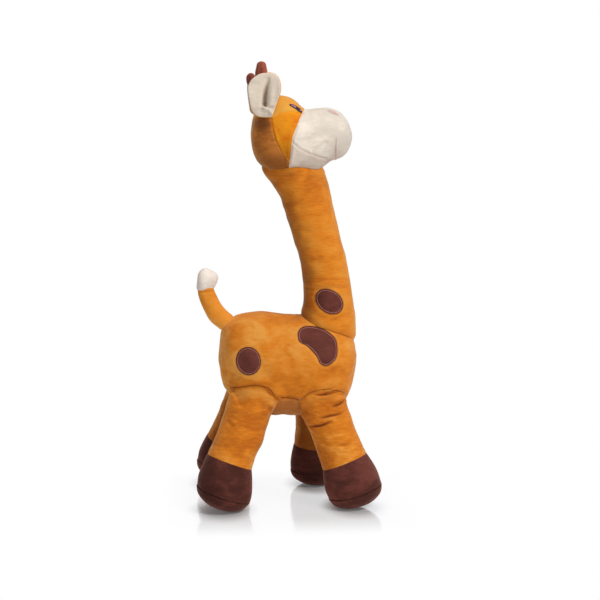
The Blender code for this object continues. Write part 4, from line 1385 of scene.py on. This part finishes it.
def ear_stand(x, z):
    """How far the ear's cloth stands out from its root, at a place across and up the leaf."""
    height = (z - EAR_FOOT) / (EAR_TOP - EAR_FOOT)
    curl = (x / 15.0) ** 2 * math.sin(math.pi * height * 0.9)
    middle, depth = along_table(EAR_FOLD, z)
    away = x - middle
    fold = bell(away / 3.0) if away < 0.0 else math.exp(-(away / 1.3) ** 4)
    flap = 0.35 * bell((away - 4.2) / 3.0)
    lip = 1.7 * bell(line_place(x, z, EAR_LIP)[0] / 2.0)
    return EAR_FLARE * height + EAR_CUP * curl - depth * (fold - flap) + lip


def ear_painted_shading(x, z, edge):
    """How much painted shade the ear's cloth gets: shade in the fold and faintly past it, and a painted highlight on
    the fold's other side and at the edge.
    """
    middle, depth = along_table(EAR_FOLD, z)
    away = x - middle
    dark = 0.75 * min(1.0, depth / 3.5) * math.exp(-(away / 1.1) ** 4) + 0.2 * bell((away - 6.5) / 3.5)
    return dark - 0.7 * bell((away + 4.5) / 2.6) - 0.7 * edge ** 6


def ear_leaf(root, side, rims, out, thick):
    """One layer of an ear, rounded off at its edge, as a bmesh."""
    bm = bmesh.new()
    layer = bm.verts.layers.float.new("painted_shading")
    bmesh.ops.create_grid(bm, x_segments=56, y_segments=72, size=1.0)
    for vert in bm.verts:
        # The square grid is pressed to a round one, then stretched to the leaf
        u, v = vert.co.x, vert.co.y
        across = u * math.sqrt(1.0 - v * v / 2.0)
        up = v * math.sqrt(1.0 - u * u / 2.0)
        share = max(-1.0, min(1.0, across / max(math.sqrt(max(0.0, 1.0 - up * up)), 1e-3)))
        z = EAR_FOOT + rims[1] + (up + 1.0) / 2.0 * (EAR_TOP - EAR_FOOT - 2.0 * rims[1])
        left, right = along_table(EAR_EDGES, z)
        left, right = left + rims[0], right - rims[1]
        x = (left + right) / 2.0 + share * max(0.2, (right - left) / 2.0)
        edge = max(abs(u), abs(v))
        # Painted shade in the ear's fold, painted highlight beside it and at the edge
        vert[layer] = ear_painted_shading(x, z, edge)
        vert.co = at(root[0] + x, side * (root[1] + ear_stand(x, z) + out - 0.9 * edge ** 12), z)
    bmesh.ops.recalc_face_normals(bm, faces=bm.faces)
    return thickened(bm, thick * MM)


class TOY_OT_ears(bpy.types.Operator):
    """Build the leaf-shaped ears, tan outside and cream inside"""
    bl_idname = "toy.ears"
    bl_label = "Ears"

    def execute(self, context):
        for name, side in SIDES:
            root = EAR_ROOTS[name]
            for part, cloth, slot, rims, out, thick in EAR_LAYERS:
                bm = ear_leaf(root, side, rims, out, thick)
                obj = padded_piece(part + "cloth_" + name, bm, cloth, None, (part + name,))
                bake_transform(obj, "head", "ear_" + name, start=at(root[0], side * root[1], EAR_FOOT - 1.0),
                         end=at(root[0], side * (root[1] + 1.5), EAR_FOOT + 8.0))
        return {"FINISHED"}


class TOY_OT_spots(bpy.types.Operator):
    """Sew the dark spots on and stitch round them"""
    bl_idname = "toy.spots"
    bl_label = "Spots"

    def execute(self, context):
        sewing = context.scene.toy_sewing
        rise, border = sewing.spot_rise / MM, sewing.border / MM
        graph = context.evaluated_depsgraph_get()
        trees = {body: BVHTree.FromObject(bpy.data.objects[body + "_cloth"], graph) for body in ("torso", "neck")}
        for part, outline, heart, body in (
            ("shoulder_spot_", eased_outline(KIDNEY, 96), KIDNEY_HEART, "torso"),
            ("rump_spot_", oval_outline(*RUMP_SPOT, 72), RUMP_SPOT[0], "torso"),
            ("neck_spot_", oval_outline(*NECK_SPOT, 72), NECK_SPOT[0], "neck"),
        ):
            body_name = None if body == "neck" else body
            inset = [between(point, heart, SPOT_INSET / math.dist(point, heart)) for point in outline]
            for name, side in SIDES:
                bm = patch_form(trees[body], outline, heart, side, rise)
                inner = even_line(cast_outline(BVHTree.FromBMesh(bm), inset, side, 0.08), 340)
                edge = even_line(cast_outline(trees[body], outline, side, 0.3), 360)
                made = [
                    piece(part + "cloth_" + name, bm, "toy_spot", body_name, (part + name,)),
                    piece(part + "edge_" + name, stitched(edge, border), "toy_spot_thread", body_name),
                    piece(part + "border_" + name, stitched(inner, border * 0.75), "toy_mauve_thread", body_name),
                ]
                if body == "neck":
                    for obj in made:
                        bend_with_neck(obj)
        return {"FINISHED"}


def sewing_place(tree, centre, look, right, turn=1.0):
    """A way to find points on the cloth, in mm across, up and out from a centre that is looked at from outside."""
    look, right = Vector(look).normalized(), Vector(right).normalized()
    up = look.cross(right).normalized() * turn

    def spot(across, rise, lift):
        hit, normal = onto(tree, centre + right * across * MM + up * rise * MM + look * 0.03, -look)
        return hit + normal * lift * MM

    return spot


def straight(spot, start, end, steps, lift):
    return [spot(*between(start, end, step / steps), lift) for step in range(steps + 1)]


def sew_eye(tree, name, side):
    x, y, z = EYE_PLACE
    spot = sewing_place(tree, at(x, side * y, z), (0.3, side * 0.72, 0.62), (1.0, 0.0, -0.48), -side)
    oval = oval_outline((0.0, 0.0), EYE_SIZE, 0.0, 48)
    filling = disc(48, 6, 0.0005, lambda number, share: spot(oval[number][0] * share, oval[number][1] * share,
                                                             0.45 + 0.25 * (1.0 - share)))
    piece("eye_filling_" + name, filling, "toy_rose_thread", "head", ("eye_stitch_" + name,))
    outline = even_line([spot(*point, 0.5) for point in oval], 110)
    piece("eye_outline_" + name, stitched(outline, 0.48), "toy_purple_thread", "head")
    for loop in range(3):
        share = 1.0 - 0.33 * loop
        iris = oval_outline(IRIS_MIDDLE, (2.7 * share, share), 0.0, 30)
        line = even_line([spot(*point, 0.8) for point in iris], 60)
        piece(f"eye_iris_{name}_{loop}", stitched(line, 0.42), "toy_purple_thread", "head")
    glint = straight(spot, (3.6, -0.7), (5.0, -0.2), 7, 1.0)
    piece("eye_glint_" + name, stitched(glint, 0.38, False, False), "toy_white_thread", "head")


def sew_nostril(tree, name, side):
    x, y, z = NOSTRIL_PLACE
    spot = sewing_place(tree, at(x, side * y, z), (0.5, side * 0.5, 0.7), (0.8, 0.0, -0.57))
    oval = even_line([spot(*point, 0.1) for point in oval_outline((0.0, 0.0), NOSTRIL_SIZE, 0.0, 40)], 90)
    piece("nostril_line_" + name, stitched(oval, 0.26), "toy_pink_thread", "head",
          ("nostril_stitch_" + name,))
    for number, across in enumerate((-2.6, -0.9, 0.9, 2.6)):
        line = straight(spot, (across - 0.9, 1.4), (across + 0.9, -1.4), 9, 0.12)
        piece(f"nostril_hatch_{name}_{number}", stitched(line, 0.33, False), "toy_pink_thread", "head")


def sew_mouth(tree):
    line = []
    for step in range(61):
        angle = math.radians(-176.0 + 172.0 * step / 60.0)
        start = at(MOUTH_PLACE[0] + MOUTH_BOW * (1.0 - abs(math.cos(angle))), *MOUTH_PLACE[1:])
        hit, normal = onto(tree, start, Vector((0.0, math.cos(angle), math.sin(angle))))
        line.append(hit + normal * 0.15 * MM)
    piece("mouth_line", stitched(even_line(line, 200, False), 0.38, False), "toy_pink_thread", "head",
          ("mouth_stitch",))


class TOY_OT_face(bpy.types.Operator):
    """Embroider the eyes, nostrils and mouth"""
    bl_idname = "toy.face"
    bl_label = "Face"

    def execute(self, context):
        tree = BVHTree.FromBMesh(FORMS["head_shown"])
        for name, side in SIDES:
            sew_eye(tree, name, side)
            sew_nostril(tree, name, side)
        sew_mouth(tree)
        return {"FINISHED"}


def lay_floor():
    """A floor that looks white, with a soft shade and a faint reflection near the toy, and painted shadow under the
    hooves.
    """
    cloth = Cloth("studio_floor")
    cloth.feed({"Base Color": (0.9, 0.9, 0.91, 1.0), "Roughness": 0.5})
    where = cloth.node("ShaderNodeTexCoord", output="Object")
    across, along = (cloth.node("ShaderNodeSeparateXYZ", None, {0: where}, axis) for axis in (0, 1))
    across = cloth.node("ShaderNodeMath", {"operation": "ABSOLUTE"}, {0: across})
    near = (1.0 - cloth.ease(across, 0.08, 0.12)) * cloth.ease(along, -0.135, -0.07)
    near = near * (1.0 - cloth.ease(along, 0.05, 0.1))
    # Painted shadow round each hoof: there the floor's glow gives way to its own shade, so it goes dark
    pool = 0.0
    narrow = Vector((1.35, 1.0, 1.0))
    under = cloth.node("ShaderNodeVectorMath", {"operation": "MULTIPLY"}, {0: where, 1: narrow})
    for name in LEGS:
        x, y, _, _ = grounded(name)
        hoof = at(x, y, 0.0) * narrow
        away = cloth.node("ShaderNodeVectorMath", {"operation": "DISTANCE"}, {0: under, 1: hoof}, 1)
        dark = cloth.ease(away, 0.02, 0.047, 1.0, 0.0)
        pool = cloth.node("ShaderNodeMath", {"operation": "MAXIMUM"}, {0: pool, 1: dark})
    white = 1.0 - near * 0.12 - pool * 0.74
    seen = cloth.ray("Is Camera Ray")
    share = (seen + cloth.ray("Is Glossy Ray") + cloth.ray("Is Transmission Ray")) * white
    glow = cloth.node("ShaderNodeEmission", None, {"Color": (1.0, 1.0, 1.0, 1.0), "Strength": 1.0})
    plain = Wire(cloth, cloth.last.outputs[0])
    lit = cloth.node("ShaderNodeMixShader", None, {0: share, 1: plain, 2: glow})
    mirror = cloth.node("ShaderNodeBsdfAnisotropic", None, {"Color": (0.965, 0.96, 1.0, 1.0), "Roughness": 0.12})
    shine = seen * (near * 0.27 + pool * 0.13)
    lit = cloth.node("ShaderNodeMixShader", None, {0: shine, 1: lit, 2: mirror})
    cloth.fill(cloth.tree.nodes["Material Output"].inputs["Surface"], lit)
    bm = bmesh.new()
    bmesh.ops.create_grid(bm, x_segments=1, y_segments=1, size=6.0)
    mesh = bpy.data.meshes.new("studio_floor")
    bm.to_mesh(mesh)
    mesh.materials.append(cloth.material)
    floor = bpy.data.objects.new("studio_floor", mesh)
    bpy.context.scene.collection.objects.link(floor)


class TOY_OT_studio(bpy.types.Operator):
    """Set the pale floor, the soft lamps and the camera"""
    bl_idname = "toy.studio"
    bl_label = "Studio"

    def execute(self, context):
        lay_floor()
        scene = context.scene
        scene.world = bpy.data.worlds.new("studio")
        scene.world.use_nodes = True
        back = Shade(scene.world.node_tree, "Background")
        seen = back.node("ShaderNodeMath", {"operation": "MAXIMUM"},
                         {0: back.ray("Is Camera Ray"), 1: back.ray("Is Glossy Ray")})
        level = back.node("ShaderNodeMapRange", None, {"Value": seen, "To Min": 0.2, "To Max": 1.0})
        back.feed({"Strength": level, "Color": (1.0, 1.0, 1.0, 1.0)})
        for name, (place, size, power) in LAMPS.items():
            lamp = bpy.data.lights.new(name, "AREA")
            lamp.size = size
            lamp.energy = power
            obj = bpy.data.objects.new(name, lamp)
            scene.collection.objects.link(obj)
            obj.location = place
            obj.rotation_euler = (at(0.0, 0.0, 190.0) - obj.location).to_track_quat("-Z", "Y").to_euler()
        lens = bpy.data.cameras.new("photo_view")
        lens.lens = 90.0
        lens.sensor_width = 36.0
        camera = bpy.data.objects.new("photo_view", lens)
        scene.collection.objects.link(camera)
        turn, rise = math.radians(CAMERA_TURN), math.radians(CAMERA_RISE)
        way = Vector((math.sin(turn) * math.cos(rise), -math.cos(turn) * math.cos(rise), math.sin(rise)))
        camera.location = at(0.0, 0.0, 180.0) + way * CAMERA_AWAY
        camera.rotation_euler = (-way).to_track_quat("-Z", "Y").to_euler()
        scene.camera = camera
        scene.view_settings.view_transform = "Standard"
        return {"FINISHED"}


BUILDERS = (TOY_OT_studio, TOY_OT_torso, TOY_OT_neck, TOY_OT_head, TOY_OT_legs, TOY_OT_seams, TOY_OT_hooves,
            TOY_OT_tail, TOY_OT_horns, TOY_OT_ears, TOY_OT_spots, TOY_OT_face)


class TOY_PT_panel(bpy.types.Panel):
    bl_idname = "TOY_PT_panel"
    bl_label = "Plush giraffe"
    bl_space_type = "VIEW_3D"
    bl_region_type = "UI"
    bl_category = "Toy"

    def draw(self, context):
        for group in (context.scene.toy_cloth, context.scene.toy_sewing):
            for name in group.__annotations__:
                self.layout.prop(group, name)
        for builder in BUILDERS:
            self.layout.operator(builder.bl_idname)


CLASSES = (ToyCloth, ToySewing, *BUILDERS, TOY_PT_panel)


def register():
    for made in CLASSES:
        bpy.utils.register_class(made)
    bpy.types.Scene.toy_cloth = bpy.props.PointerProperty(type=ToyCloth)
    bpy.types.Scene.toy_sewing = bpy.props.PointerProperty(type=ToySewing)


def unregister():
    del bpy.types.Scene.toy_sewing
    del bpy.types.Scene.toy_cloth
    for made in reversed(CLASSES):
        bpy.utils.unregister_class(made)


def main():
    register()
    for builder in BUILDERS:
        group, _, name = builder.bl_idname.partition(".")
        getattr(getattr(bpy.ops, group), name)()


if __name__ == "__main__":
    main()
